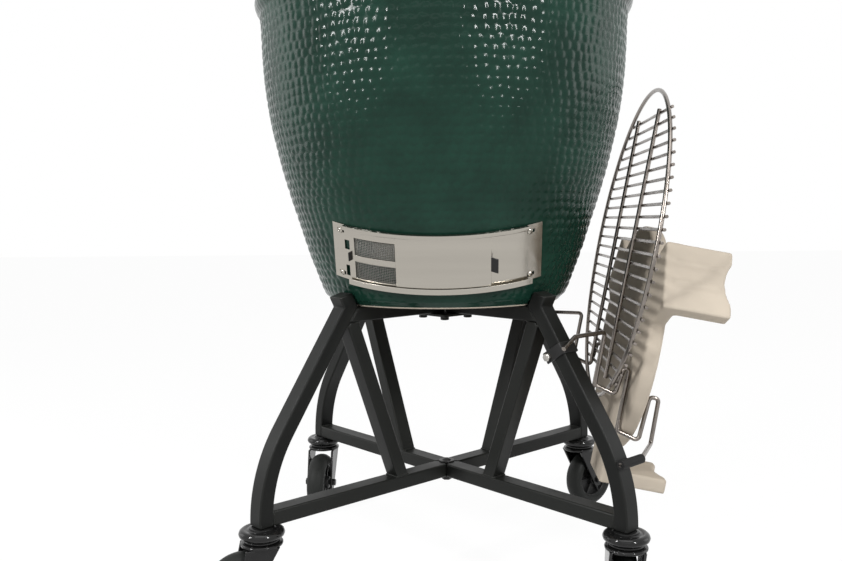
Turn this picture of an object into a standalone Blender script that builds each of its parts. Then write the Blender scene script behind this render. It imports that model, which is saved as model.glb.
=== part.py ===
"""A ceramic charcoal grill in a wheeled tube stand, with a side rack for its cooking grid and heat deflector.

Metres, +Z up, front at -Y. Everything is laid out round the bowl's axis, with the floor at z = 0. The last
step moves the whole grill so that the middle of its footprint is at the origin.
"""

import math

import bmesh
import bpy
from mathutils import Euler, Matrix, Vector

# ---- Fits -------------------------------------------------------------------------------------------------
GAP = 0.0003            # between pieces that touch
RUNNING = 0.0004        # between a pin and the hole that turns on it
SLIDING = 0.0008        # between the vent's sheets, and between a lifted-out piece and its rack

# ---- Stand ------------------------------------------------------------------------------------------------
CASTER_HEIGHT = 0.130   # floor to the underside of the base rails
TUBE_WIDTH = 0.026      # across the plane of each side frame
TUBE_DEPTH = 0.020      # in that plane
TUBE_EDGE = 0.0016      # rounding of the tube's edges
STAND_HEIGHT = 0.273    # underside of the rails to the top of the arms
FOOT_RADIUS = 0.3288    # bowl's axis to the middle of a leg's foot
LEG_SLOPE = math.radians(56.1)
LEG_BEND = 0.2065       # radius of the bend in a leg's centre line
LEG_FOOT = 0.0022       # straight part under the bend
STUB_LENGTH = 0.022     # of the leaning stub on a leg
STUB_LEAN = math.radians(27.0)
STRUT_FOOT = 0.0995     # bowl's axis to the strut's middle on the rail
STRUT_HEAD = 0.1855     # and under the arm
RAIL_TIP = 0.0062       # cut-off tip of a rail or arm at the centre
LEG_ANGLES = {"front_left": -135.0, "front_right": -45.0, "rear_right": 45.0, "rear_left": 135.0}
BOLT_RADIUS = 0.004
WASHER_RADIUS = 0.0125
PLATE_SIDE = 0.074      # square plate under the middle of the arms
PLATE_THICKNESS = 0.004
PLATE_BOLT_CIRCLE = 0.034

# ---- Casters ----------------------------------------------------------------------------------------------
WHEEL_RADIUS = 0.050
WHEEL_WIDTH = 0.032
TRAIL = 0.026           # swivel axis to axle
RACE_RADIUS = 0.030
RACE_HEIGHT = 0.0185    # leg's foot to the underside of the fixed race
NECK_RADIUS = 0.0165
FORK_SIDE = 0.0040      # thickness of a fork's side
WHEEL_CLEARANCE = 0.0030
AXLE_RADIUS = 0.0040
CASTER_HEADINGS = {"front_left": 205.0, "front_right": 88.0, "rear_right": 40.0, "rear_left": 265.0}

# ---- Ceramics ---------------------------------------------------------------------------------------------
BOWL_HEIGHT = 0.470
BOWL_FLOOR = 0.028
RIM_RADIUS = 0.269
RIM_INNER = 0.240
LIP_RADIUS = 0.2755
DOME_HEIGHT = 0.340
NECK_OUTER = 0.068      # chimney neck of the dome
NECK_INNER = 0.048
GASKET_THICKNESS = 0.0025
GASKET_INNER = 0.244
GASKET_OUTER = 0.267
FIREBOX_HEIGHT = 0.197
FIRE_RING_HEIGHT = 0.075
GRATE_RADIUS = 0.122
GRATE_HEIGHT = 0.075    # of the firebox's ledge over the bowl's underside
GRATE_THICKNESS = 0.006
GRATE_HOLE = 0.0125
GRATE_PITCH = 0.046
TURN_STEPS = 40         # facets round the ceramics
SWEEP_FACET = 4.0       # degrees between the facets of a piece bent round part of a circle

# ---- Lower vent, on a cylinder that leans with the bowl's wall ---------------------------------------------
VENT_RADIUS = 0.2149    # inside of the frame's sheet
VENT_LEAN = math.radians(20.0)
VENT_AXIS_HEIGHT = 0.1366   # where the cylinder's axis meets the bowl's axis, over the bowl's underside
VENT_HALF = 0.0390      # half the frame's height
FRAME_SHEET = 0.0012
DOOR_SHEET = 0.0010
FRAME_LEFT, FRAME_RIGHT = -42.0, 38.0
RAIL_LEFT, RAIL_RIGHT = -36.0, 31.3
CHANNEL_LEFT, CHANNEL_RIGHT = -34.0, 33.0
PORT_LEFT, PORT_RIGHT = -29.5, -2.0     # hole in the ceramic
PORT_HALF = 0.0270
PORT_MARGIN = 0.8       # the frame's window is larger than the port by this many degrees
SCREEN_LEFT, SCREEN_RIGHT = -33.6, -0.5
DOOR_LEFT, DOOR_RIGHT = -15.4, 17.5
WINDOW_LEFT, WINDOW_RIGHT = -31.5, -2.6
WINDOWS = ((-0.0325, -0.0087), (0.0000, 0.0244))
LIP_REACH = 0.0050      # how far the rail and the channel stand out from the frame
CHANNEL_LIP = 0.0040     # how far the channel's lip rises past the frame's lower edge
DOOR_TAB_WIDTH = 0.0200
DOOR_TAB_REACH = 0.0100

# ---- Bands, hinge and handle --------------------------------------------------------------------------------
BAND_HEIGHT = 0.024
BAND_THICKNESS = 0.0022
HINGE_REACH = 0.062     # outside of the bands to the hinge pin
HINGE_PIN_RADIUS = 0.005
HINGE_EAR = 0.005       # thickness of an ear
LOWER_EAR_X = 0.046
UPPER_EAR_X = 0.056
HINGE_BOSS = 0.012
SPRING_TURNS = 5
SPRING_WIRE = 0.0015
SPRING_RADIUS = 0.0090
HANDLE_RADIUS = 0.0150
HANDLE_SPAN = 0.260     # between the outsides of its two arms
HANDLE_REACH = 0.095
HANDLE_ARM = 0.006

# ---- Thermometer and chimney top ----------------------------------------------------------------------------
DIAL_RADIUS = 0.037
DIAL_DEPTH = 0.018
DIAL_HEIGHT = 0.118     # over the dome's foot
STEM_RADIUS = 0.0035
STEM_LENGTH = 0.050
NEEDLE_LENGTH = 0.027
DAMPER_SHEET = 0.004
DAMPER_RADIUS = 0.066
DAMPER_HOLE = 0.0115
DAMPER_HOLE_CIRCLE = 0.0270
DAMPER_HOLES = 5
WHEEL_DISC_RADIUS = 0.043
PIVOT_CIRCLE = 0.0590
PIVOT_RADIUS = 0.0035

# ---- Side rack, grid and deflector --------------------------------------------------------------------------
RACK_TILT = math.radians(10.9)
RACK_HALF = 0.120       # bowl's axis plane to each side wire
RACK_WIRE = 0.003
RACK_BEND = 0.0055      # bend radius of the wire's centre line
DEFLECTOR_CENTRE = Vector((0.277, 0.0, CASTER_HEIGHT + 0.213))
DEFLECTOR_RADIUS = 0.168
DEFLECTOR_THICKNESS = 0.022
DEFLECTOR_LEG_LENGTH = 0.076
DEFLECTOR_LEG_WIDTH = 0.100
DEFLECTOR_LEG_CIRCLE = 0.205
DEFLECTOR_LEG_THICKNESS = 0.022
GRID_RADIUS = 0.2285
GRID_WIRE = 0.003
ROD_WIRE = 0.0022
ROD_PITCH = 0.0165
ROD_COUNT = 24
ROD_OVERHANG = 0.006
BAR_OFFSET = 0.072      # of each long bar from the grid's middle
GRID_SETBACK = 0.0358   # deflector's middle plane to the grid's ring plane
GRID_RISE = 0.1357      # of the grid's centre over the deflector's, along the tilted plane
SLEEVE_RADIUS = 0.0062
CLAMP_SHEET = 0.0022
CLAMP_WIDTH = 0.016

# ---- Levels that follow from the above ----------------------------------------------------------------------
ARM_TOP = CASTER_HEIGHT + STAND_HEIGHT
BOWL_Z = ARM_TOP + GAP
BOWL_TOP = BOWL_Z + BOWL_HEIGHT
DOME_Z = BOWL_TOP + 2 * GASKET_THICKNESS + 3 * GAP
HINGE_Z = 0.5 * (BOWL_TOP + DOME_Z)
BAND_OUTER = RIM_RADIUS + GAP + BAND_THICKNESS
HINGE_Y = BAND_OUTER + HINGE_REACH
CHIMNEY_TOP = DOME_Z + DOME_HEIGHT
COVER_Z = CHIMNEY_TOP + DAMPER_SHEET + GAP

# ---- Materials: colour, roughness, metallic -----------------------------------------------------------------
FINISHES = {
    "glazed_ceramic": ((0.020, 0.075, 0.055), 0.15, 0.0),
    "raw_ceramic": ((0.62, 0.54, 0.46), 0.80, 0.0),
    "black_powder_coat": ((0.018, 0.019, 0.018), 0.45, 0.0),
    "gloss_black": ((0.010, 0.010, 0.010), 0.18, 0.0),
    "stainless": ((0.62, 0.58, 0.54), 0.28, 1.0),
    "rack_wire": ((0.36, 0.33, 0.30), 0.35, 1.0),
    "mesh": ((0.10, 0.10, 0.09), 0.55, 1.0),
    "wheel_rubber": ((0.020, 0.022, 0.020), 0.60, 0.0),
    "black_steel": ((0.020, 0.020, 0.020), 0.40, 0.6),
    "cast_iron": ((0.030, 0.030, 0.030), 0.55, 0.5),
    "felt": ((0.16, 0.16, 0.15), 0.95, 0.0),
    "wood": ((0.35, 0.17, 0.07), 0.50, 0.0),
    "dial_black": ((0.012, 0.012, 0.012), 0.35, 0.0),
    "needle_red": ((0.55, 0.03, 0.02), 0.40, 0.0),
    "spring_steel": ((0.42, 0.42, 0.42), 0.30, 1.0),
    "galvanised": ((0.55, 0.55, 0.55), 0.38, 1.0),
}


# ---- Scene and helpers --------------------------------------------------------------------------------------
def clear_scene():
    for obj in list(bpy.data.objects):
        bpy.data.objects.remove(obj, do_unlink=True)
    for mesh in list(bpy.data.meshes):
        bpy.data.meshes.remove(mesh)
    for group in list(bpy.data.collections):
        bpy.data.collections.remove(group)


clear_scene()
PARTS = bpy.data.collections.new("ceramic_grill")
TOOLS = bpy.data.collections.new("tools")
bpy.context.scene.collection.children.link(PARTS)
bpy.context.scene.collection.children.link(TOOLS)


def make_material(name):
    colour, roughness, metallic = FINISHES[name]
    material = bpy.data.materials.new(name)
    material.use_nodes = True
    shader = material.node_tree.nodes["Principled BSDF"]
    shader.inputs["Base Color"].default_value = (*colour, 1.0)
    shader.inputs["Roughness"].default_value = roughness
    shader.inputs["Metallic"].default_value = metallic
    return material


def empty(name, position, parent=None, rotation=(0.0, 0.0, 0.0)):
    pivot = bpy.data.objects.new(name, None)
    PARTS.objects.link(pivot)
    pivot.location = position
    pivot.rotation_euler = rotation
    pivot.parent = parent
    return pivot


ROOT = empty("grill_origin", (0.0, 0.0, 0.0))


def placed(obj, finish, parent=ROOT, matrix=None):
    """Gives a node its material, parent and place, the place in the frame of the bowl's axis."""
    obj.data.materials.clear()
    obj.data.materials.append(make_material(finish))
    if obj.name not in PARTS.objects:
        PARTS.objects.link(obj)
    world = matrix or Matrix.Identity(4)
    obj.parent = parent
    bpy.context.view_layer.update()
    local = parent.matrix_world.inverted() @ world
    obj.location = local.to_translation()
    obj.rotation_euler = local.to_euler()
    if obj.type == "MESH":
        obj.data.shade_smooth()
        obj.data.set_sharp_from_angle(angle=math.radians(35))
    return obj


def as_tool(obj):
    """Makes an object a cutter, or a shape that a Boolean joins to a node."""
    if obj.name not in TOOLS.objects:
        TOOLS.objects.link(obj)
    if obj.parent is None:
        obj.parent = ROOT
    obj.hide_render = True
    obj.display_type = "WIRE"
    return obj


def boolean(obj, tool, operation="DIFFERENCE"):
    change = obj.modifiers.new(operation.lower() + "_" + tool.name, "BOOLEAN")
    change.operation = operation
    change.object = as_tool(tool)
    change.solver = "EXACT"
    return change


def bevel(obj, width, segments=1, angle=35.0):
    edge = obj.modifiers.new("edge", "BEVEL")
    edge.width = width
    edge.segments = segments
    edge.limit_method = "ANGLE"
    edge.angle_limit = math.radians(angle)
    edge.use_clamp_overlap = True
    return edge


def weld(obj):
    join = obj.modifiers.new("weld", "WELD")
    join.merge_threshold = 0.00005
    return join


def from_bmesh(name, mesh_edit):
    mesh = bpy.data.meshes.new(name)
    mesh_edit.to_mesh(mesh)
    mesh_edit.free()
    return bpy.data.objects.new(name, mesh)


def box(name, low, high, matrix=None):
    """A box between two corners, in the frame of matrix."""
    low, high = Vector(low), Vector(high)
    edit = bmesh.new()
    bmesh.ops.create_cube(edit, size=1.0)
    size = high - low
    bmesh.ops.transform(edit, matrix=Matrix.Diagonal((*size, 1.0)), verts=edit.verts)
    bmesh.ops.transform(edit, matrix=Matrix.Translation((low + high) / 2), verts=edit.verts)
    bmesh.ops.transform(edit, matrix=matrix or Matrix.Identity(4), verts=edit.verts)
    return from_bmesh(name, edit)


def cylinder(name, radius, start, end, sides=16):
    start, end = Vector(start), Vector(end)
    edit = bmesh.new()
    length = (end - start).length
    turn = Vector((0, 0, 1)).rotation_difference(end - start).to_matrix().to_4x4()
    bmesh.ops.create_cone(edit, cap_ends=True, segments=sides, radius1=radius, radius2=radius, depth=length)
    bmesh.ops.transform(edit, matrix=Matrix.Translation((start + end) / 2) @ turn, verts=edit.verts)
    return from_bmesh(name, edit)


def turned(name, profile, steps=TURN_STEPS, closed=False):
    """A body of revolution about Z. The profile's points (radius, height) run down the outer side."""
    mesh = bpy.data.meshes.new(name)
    points = [(r, 0.0, z) for r, z in profile]
    edges = [(i, i + 1) for i in range(len(points) - 1)]
    if closed:
        edges.append((len(points) - 1, 0))
    mesh.from_pydata(points, edges, [])
    obj = bpy.data.objects.new(name, mesh)
    screw = obj.modifiers.new("turn", "SCREW")
    screw.steps = screw.render_steps = steps
    screw.use_merge_vertices = True
    screw.merge_threshold = 0.00005
    screw.use_smooth_shade = True
    return obj


def outline(name, points, thickness, holes=()):
    """A flat plate in the local XY plane, centred on it, with its holes."""
    curve = bpy.data.curves.new(name, "CURVE")
    curve.dimensions = "2D"
    curve.fill_mode = "BOTH"
    curve.extrude = thickness / 2
    for loop in (points, *holes):
        spline = curve.splines.new("POLY")
        spline.points.add(len(loop) - 1)
        for point, (x, y) in zip(spline.points, loop):
            point.co = (x, y, 0.0, 1.0)
        spline.use_cyclic_u = True
    return bpy.data.objects.new(name, curve)


def tube(name, points, radius, sides=2):
    """A round wire along the points."""
    curve = bpy.data.curves.new(name, "CURVE")
    curve.dimensions = "3D"
    curve.bevel_depth = radius
    curve.bevel_resolution = sides
    curve.use_fill_caps = True
    spline = curve.splines.new("POLY")
    spline.points.add(len(points) - 1)
    for point, position in zip(spline.points, points):
        point.co = (*position, 1.0)
    return bpy.data.objects.new(name, curve)


def as_mesh(curve_object):
    """The closed mesh of a curve object, which takes its name and place."""
    name = curve_object.name
    if not curve_object.users_collection:
        TOOLS.objects.link(curve_object)
    bpy.context.view_layer.update()
    graph = bpy.context.evaluated_depsgraph_get()
    mesh = bpy.data.meshes.new_from_object(curve_object.evaluated_get(graph))
    matrix = curve_object.matrix_world.copy()
    bpy.data.objects.remove(curve_object)
    edit = bmesh.new()
    edit.from_mesh(mesh)
    bmesh.ops.remove_doubles(edit, verts=edit.verts, dist=0.00002)
    edit.to_mesh(mesh)
    edit.free()
    obj = bpy.data.objects.new(name, mesh)
    obj.matrix_world = matrix
    return obj


def reshaped(obj, matrix):
    """Moves or mirrors the mesh inside its object, with its faces turned out again."""
    obj.data.transform(matrix)
    edit = bmesh.new()
    edit.from_mesh(obj.data)
    bmesh.ops.recalc_face_normals(edit, faces=edit.faces)
    edit.to_mesh(obj.data)
    edit.free()
    return obj


def swept(name, section, start, end):
    """A closed section of (radius, height) points turned about Z from one angle to another, in degrees from
    the front (-Y), positive to the right. Facets of all such pieces meet at the same angles."""
    first, last = math.ceil((start + 0.4) / SWEEP_FACET), math.floor((end - 0.4) / SWEEP_FACET)
    knots = [start, *(k * SWEEP_FACET for k in range(first, last + 1)), end]
    edit = bmesh.new()
    angle = math.radians(start - 90.0)
    corners = [edit.verts.new((r * math.cos(angle), r * math.sin(angle), z)) for r, z in section]
    face = edit.faces.new(corners)
    geometry = [face, *face.edges, *face.verts]
    for before, after in zip(knots, knots[1:]):
        step = bmesh.ops.spin(edit, geom=geometry, cent=(0, 0, 0), axis=(0, 0, 1), steps=1,
                              angle=math.radians(after - before), use_merge=False, use_duplicate=False)
        geometry = step["geom_last"]
    bmesh.ops.recalc_face_normals(edit, faces=edit.faces)
    return from_bmesh(name, edit)


def rounded(points, radius, steps=3):
    """The same path with each inner corner replaced by an arc of this radius."""
    path = [Vector(points[0])]
    for before, corner, after in zip(points, points[1:], points[2:]):
        corner = Vector(corner)
        towards, away = Vector(before) - corner, Vector(after) - corner
        angle = towards.angle(away)
        if math.pi - angle < math.radians(4):
            path.append(corner)
            continue
        reach = min(radius / math.tan(angle / 2), 0.49 * towards.length, 0.49 * away.length)
        bend = reach * math.tan(angle / 2)
        middle = corner + (towards.normalized() + away.normalized()).normalized() * bend / math.sin(angle / 2)
        first = corner + towards.normalized() * reach - middle
        last = corner + away.normalized() * reach - middle
        path.extend(middle + bend * first.normalized().slerp(last.normalized(), i / steps)
                    for i in range(steps + 1))
    path.append(Vector(points[-1]))
    return path


def circle(radius, count, centre=(0.0, 0.0), start=0.0):
    step = 2 * math.pi / count
    return [(centre[0] + radius * math.cos(start + i * step), centre[1] + radius * math.sin(start + i * step))
            for i in range(count)]


def arc(centre, radius, start, end, steps):
    """Points on an arc in a plane, angles in degrees."""
    return [(centre[0] + radius * math.cos(math.radians(start + (end - start) * i / steps)),
             centre[1] + radius * math.sin(math.radians(start + (end - start) * i / steps)))
            for i in range(steps + 1)]


def side_frame(angle):
    """Local X runs out from the bowl's axis at this angle, local Y runs up, with Y = 0 under the rails."""
    turn = Matrix.Rotation(math.radians(angle), 4, "Z")
    stand_up = Matrix(((1, 0, 0, 0), (0, 0, -1, 0), (0, 1, 0, CASTER_HEIGHT), (0, 0, 0, 1)))
    return turn @ stand_up


# ---- Stand --------------------------------------------------------------------------------------------------
def leg_line(offset, steps=7):
    """The leg's centre line moved outwards by offset, foot first, up to the level of the arms."""
    bend = LEG_BEND + offset
    centre = (FOOT_RADIUS - LEG_BEND, LEG_FOOT)
    lean = 90.0 - math.degrees(LEG_SLOPE)
    points = [(FOOT_RADIUS + offset, 0.0)] + arc(centre, bend, 0.0, lean, steps)
    x, y = points[-1]
    top = STAND_HEIGHT + 0.001
    points.append((x - (top - y) / math.tan(LEG_SLOPE), top))
    return points


def leg_inner_x(height):
    (x0, y0), (x1, y1) = leg_line(-TUBE_DEPTH / 2)[-2:]
    return x0 + (height - y0) * (x1 - x0) / (y1 - y0)


def leg_outer_x(height):
    points = leg_line(TUBE_DEPTH / 2, 24)
    for (x0, y0), (x1, y1) in zip(points, points[1:]):
        if y0 <= height <= y1 and y1 > y0:
            return x0 + (height - y0) * (x1 - x0) / (y1 - y0)
    return points[-1][0]


def leg_points():
    outer = leg_line(TUBE_DEPTH / 2)
    inner = leg_line(-TUBE_DEPTH / 2)
    lean = Vector((math.sin(STUB_LEAN), math.cos(STUB_LEAN)))
    head = [tuple(Vector(outer[-1]) + lean * 0.7 * STUB_LENGTH), tuple(Vector(inner[-1]) + lean * STUB_LENGTH)]
    return outer + head + inner[::-1]


def pointed(tip, length, half):
    """Plan of a tube whose inner end is mitred to meet three others round a bolt."""
    return [(tip, -tip + 0.0007), (half + 0.0007, -half), (length, -half), (length, half),
            (half + 0.0007, half), (tip, tip - 0.0007)]


def edged(obj, finish, matrix):
    mesh_object = as_mesh(obj)
    placed(mesh_object, finish, matrix=matrix)
    bevel(mesh_object, TUBE_EDGE)
    return mesh_object


def stand():
    half = TUBE_WIDTH / 2
    arm_low = STAND_HEIGHT - TUBE_DEPTH
    inner_bend = LEG_BEND - TUBE_DEPTH / 2
    rail_length = FOOT_RADIUS - LEG_BEND + math.sqrt(inner_bend ** 2 - (TUBE_DEPTH - LEG_FOOT) ** 2) - GAP
    head_gap = GAP / math.sin(LEG_SLOPE)
    run = (STRUT_HEAD - STRUT_FOOT) / (arm_low - TUBE_DEPTH)
    wide = TUBE_DEPTH / 2 * math.hypot(1.0, run)
    low, high = TUBE_DEPTH + GAP, arm_low - GAP

    def strut_x(side, height):
        return STRUT_FOOT + side * wide + run * (height - TUBE_DEPTH)

    meet = next(h / 1e4 for h in range(int(high * 1e4), 0, -1)
                if strut_x(1, h / 1e4) < leg_inner_x(h / 1e4) - head_gap)
    strut = [(strut_x(-1, low), low), (strut_x(1, low), low), (strut_x(1, meet), meet)]
    if meet < high:
        strut.append((leg_inner_x(high) - head_gap, high))
    strut.append((strut_x(-1, high), high))
    arm = [(RAIL_TIP, arm_low), (leg_inner_x(arm_low) - head_gap, arm_low),
           (leg_inner_x(STAND_HEIGHT) - head_gap, STAND_HEIGHT), (RAIL_TIP, STAND_HEIGHT)]
    for corner, angle in LEG_ANGLES.items():
        frame = side_frame(angle)
        edged(outline("leg_" + corner, leg_points(), TUBE_WIDTH), "black_powder_coat", frame)
        edged(outline("strut_" + corner, strut, TUBE_WIDTH), "black_powder_coat", frame)
        turn = Matrix.Rotation(math.radians(angle), 4, "Z")
        rise = Matrix.Translation((0, 0, CASTER_HEIGHT + TUBE_DEPTH / 2))
        edged(outline("base_rail_" + corner, pointed(RAIL_TIP, rail_length, half), TUBE_DEPTH),
              "black_powder_coat", turn @ rise)
        top = as_mesh(outline("top_arm_" + corner, arm, TUBE_WIDTH))
        placed(top, "black_powder_coat", matrix=frame)
        for side in (-1, 1):
            flat = outline(f"mitre_{corner}_{side}", [(-0.05, -0.0507), (0.0557, 0.055), (-0.05, 0.055)], 0.1)
            across = Matrix(((1, 0, 0, 0), (0, 0, 1, STAND_HEIGHT), (0, side, 0, 0), (0, 0, 0, 1)))
            tool = reshaped(as_mesh(flat), across)
            tool.parent = ROOT
            tool.matrix_world = frame
            boolean(top, tool)
        bevel(top, TUBE_EDGE)


def stand_fasteners():
    rail_top = CASTER_HEIGHT + TUBE_DEPTH
    shank, washer, head = BOLT_RADIUS, WASHER_RADIUS, 0.0075
    up, down = rail_top + GAP, CASTER_HEIGHT - GAP
    profile = [(0, up + 0.0085), (head, up + 0.0085), (head, up + 0.0025), (washer, up + 0.0025), (washer, up),
               (shank, up), (shank, down), (washer, down), (washer, down - 0.0025), (head, down - 0.0025),
               (head, down - 0.008), (0, down - 0.008)]
    placed(turned("centre_bolt", profile, 12), "black_steel")
    top = ARM_TOP - TUBE_DEPTH - GAP
    half = PLATE_SIDE / 2
    plate = box("centre_plate", (-half, -half, top - PLATE_THICKNESS), (half, half, top))
    placed(plate, "black_powder_coat", matrix=Matrix.Rotation(math.radians(45), 4, "Z"))
    for corner, angle in LEG_ANGLES.items():
        spot = Matrix.Rotation(math.radians(angle - 45), 4, "Z") @ Vector((PLATE_BOLT_CIRCLE, 0, 0))
        bolt = cylinder("plate_bolt_" + corner, 0.0065, spot + Vector((0, 0, top - PLATE_THICKNESS + 0.001)),
                        spot + Vector((0, 0, top - PLATE_THICKNESS - 0.0055)), 6)
        boolean(plate, bolt, "UNION")


# ---- Casters ------------------------------------------------------------------------------------------------
def race_profile():
    top = -GAP
    return [(0, top), (NECK_RADIUS, top), (0.0185, top - 0.0030), (0.0270, top - 0.0024),
            (RACE_RADIUS, top - 0.0082), (0.0268, top - 0.0130), (0.0230, top - 0.0145), (0.0230, -RACE_HEIGHT),
            (0, -RACE_HEIGHT)]


def fork(name):
    """Crown disc, two sides and the axle bolt in one welded piece. Local X is the trailing direction."""
    crown_top = -RACE_HEIGHT - 2 * GAP
    crown_low = crown_top - 0.005
    inner = WHEEL_WIDTH / 2 + WHEEL_CLEARANCE
    drop = WHEEL_RADIUS - CASTER_HEIGHT
    crown = cylinder(name, 0.0275, (0, 0, crown_low), (0, 0, crown_top), 16)
    slope = math.degrees(math.atan2(TRAIL - 0.002, -drop + crown_low))
    foot = arc((TRAIL, drop), 0.011, -180 + slope * 0.3, slope * 0.75, 5)
    side = [(-0.019, crown_low + 0.001), *foot, (0.0245, crown_low + 0.001)]
    for sign in (-1, 1):
        plate = as_mesh(outline(f"{name}_side_{sign}", side, FORK_SIDE))
        reshaped(plate, Matrix(((1, 0, 0, 0), (0, 0, 1, sign * (inner + FORK_SIDE / 2)), (0, 1, 0, 0),
                                (0, 0, 0, 1))))
        boolean(crown, plate, "UNION")
    reach = inner + FORK_SIDE + 0.0045
    shank = cylinder(name + "_axle", AXLE_RADIUS, (TRAIL, -reach + 0.001, drop), (TRAIL, reach - 0.001, drop), 10)
    boolean(crown, shank, "UNION")
    for sign in (-1, 1):
        head = cylinder(f"{name}_head_{sign}", 0.0062, (TRAIL, sign * (inner + FORK_SIDE - 0.0008), drop),
                        (TRAIL, sign * reach, drop), 6)
        boolean(crown, head, "UNION")
    return crown


def wheel(name):
    """Tyre and hub, turned about local Z, which is the axle."""
    w, bore = WHEEL_WIDTH / 2, AXLE_RADIUS + RUNNING
    profile = [(0.0315, w - 0.002), (0.0405, w - 0.002), (0.0470, w - 0.0075), (WHEEL_RADIUS, 0.005)]
    mirror = [(r, -z) for r, z in reversed(profile)]
    return turned(name, [(bore, w), *profile, *mirror, (bore, -w)], 20, closed=True)


def casters():
    for corner, angle in LEG_ANGLES.items():
        out = Matrix.Rotation(math.radians(angle), 4, "Z") @ Vector((FOOT_RADIUS, 0, 0))
        foot = Matrix.Translation((out.x, out.y, CASTER_HEIGHT))
        placed(turned("caster_race_" + corner, race_profile(), 16), "gloss_black", matrix=foot)
        swivel = empty("caster_swivel_" + corner, (out.x, out.y, CASTER_HEIGHT), ROOT,
                       (0, 0, math.radians(CASTER_HEADINGS[corner])))
        bpy.context.view_layer.update()
        here = swivel.matrix_world.copy()
        body = fork("caster_fork_" + corner)
        for change in body.modifiers:
            change.object.parent = swivel
        placed(body, "gloss_black", swivel, here)
        axle = Matrix.Translation((TRAIL, 0, WHEEL_RADIUS - CASTER_HEIGHT)) @ Matrix.Rotation(math.pi / 2, 4, "X")
        placed(wheel("caster_wheel_" + corner), "wheel_rubber", swivel, here @ axle)


# ---- Ceramics -----------------------------------------------------------------------------------------------
def bowl_outer():
    """(radius, height) from the foot up."""
    return [(0.1680, 0.0), (0.182, 0.014), (0.204, 0.074), (0.227, 0.1475), (0.2506, 0.238),
            (0.2605, 0.295), (0.2655, 0.355), (0.2670, 0.405), (LIP_RADIUS - 0.001, 0.4215),
            (LIP_RADIUS, 0.4275), (RIM_RADIUS, 0.4410), (RIM_RADIUS, BOWL_HEIGHT)]


def bowl_inner():
    return [(0.0, BOWL_FLOOR), (0.150, BOWL_FLOOR), (0.177, 0.076), (0.200, 0.150), (0.222, 0.234),
            (RIM_INNER, 0.360), (RIM_INNER, BOWL_HEIGHT)]


def dome_outer():
    return [(RIM_RADIUS, 0.0), (RIM_RADIUS, 0.0285), (LIP_RADIUS - 0.0003, 0.0405), (0.2672, 0.0560),
            (0.2640, 0.085), (0.2530, 0.130), (0.2310, 0.182), (0.1960, 0.230), (0.1480, 0.271),
            (0.1020, 0.296), (0.0780, 0.307), (NECK_OUTER, 0.322), (NECK_OUTER, DOME_HEIGHT)]


def dome_inner():
    return [(NECK_INNER, DOME_HEIGHT), (NECK_INNER, 0.290), (0.100, 0.262), (0.160, 0.222), (0.205, 0.165),
            (0.230, 0.100), (RIM_INNER, 0.035), (RIM_INNER, 0.0)]


def vent_frame_matrix():
    return Matrix.Translation((0, 0, BOWL_Z + VENT_AXIS_HEIGHT)) @ Matrix.Rotation(VENT_LEAN, 4, "X")


def slab(name, inner, outer, low, high, start, end):
    """A curved plate on the vent's cylinder."""
    return swept(name, [(inner, low), (outer, low), (outer, high), (inner, high)], start, end)


def vent_tool(name, *shape):
    tool = slab(name, *shape)
    tool.parent = ROOT
    tool.matrix_world = vent_frame_matrix()
    return tool


def ceramics():
    profile = bowl_outer()[::-1] + [(0.0, 0.0)]
    bowl = turned("bowl", bowl_inner() + profile)
    placed(bowl, "glazed_ceramic", matrix=Matrix.Translation((0, 0, BOWL_Z)))
    boolean(bowl, vent_tool("air_port", 0.10, 0.26, -PORT_HALF, PORT_HALF, PORT_LEFT, PORT_RIGHT))

    dome = turned("dome", [*dome_outer()[::-1], *dome_inner()[::-1]], closed=True)
    placed(dome, "glazed_ceramic", LID, Matrix.Translation((0, 0, DOME_Z)))
    dome.data.materials[0].name = "glazed_dome"
    hole = cylinder("stem_hole", STEM_RADIUS + RUNNING + 0.001, (0, 0, -0.06), (0, 0, 0.02), 12)
    hole.parent = LID
    hole.matrix_world = dial_matrix()
    boolean(dome, hole)

    low, high = BOWL_TOP + GAP, BOWL_TOP + GAP + GASKET_THICKNESS
    ring = [(GASKET_INNER, high), (GASKET_OUTER, high), (GASKET_OUTER, low), (GASKET_INNER, low)]
    placed(turned("bowl_gasket", ring, closed=True), "felt")
    rise = GASKET_THICKNESS + GAP
    placed(turned("dome_gasket", [(r, z + rise) for r, z in ring], closed=True), "felt", LID)


def firebox_inner(height):
    """Inside radius of the firebox at a height over the bowl's underside."""
    foot, head = GRATE_HEIGHT + GRATE_THICKNESS + 0.002, BOWL_FLOOR + FIREBOX_HEIGHT
    share = (height - foot) / (head - foot)
    return GRATE_RADIUS + 0.0015 + 0.0545 * share


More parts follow.
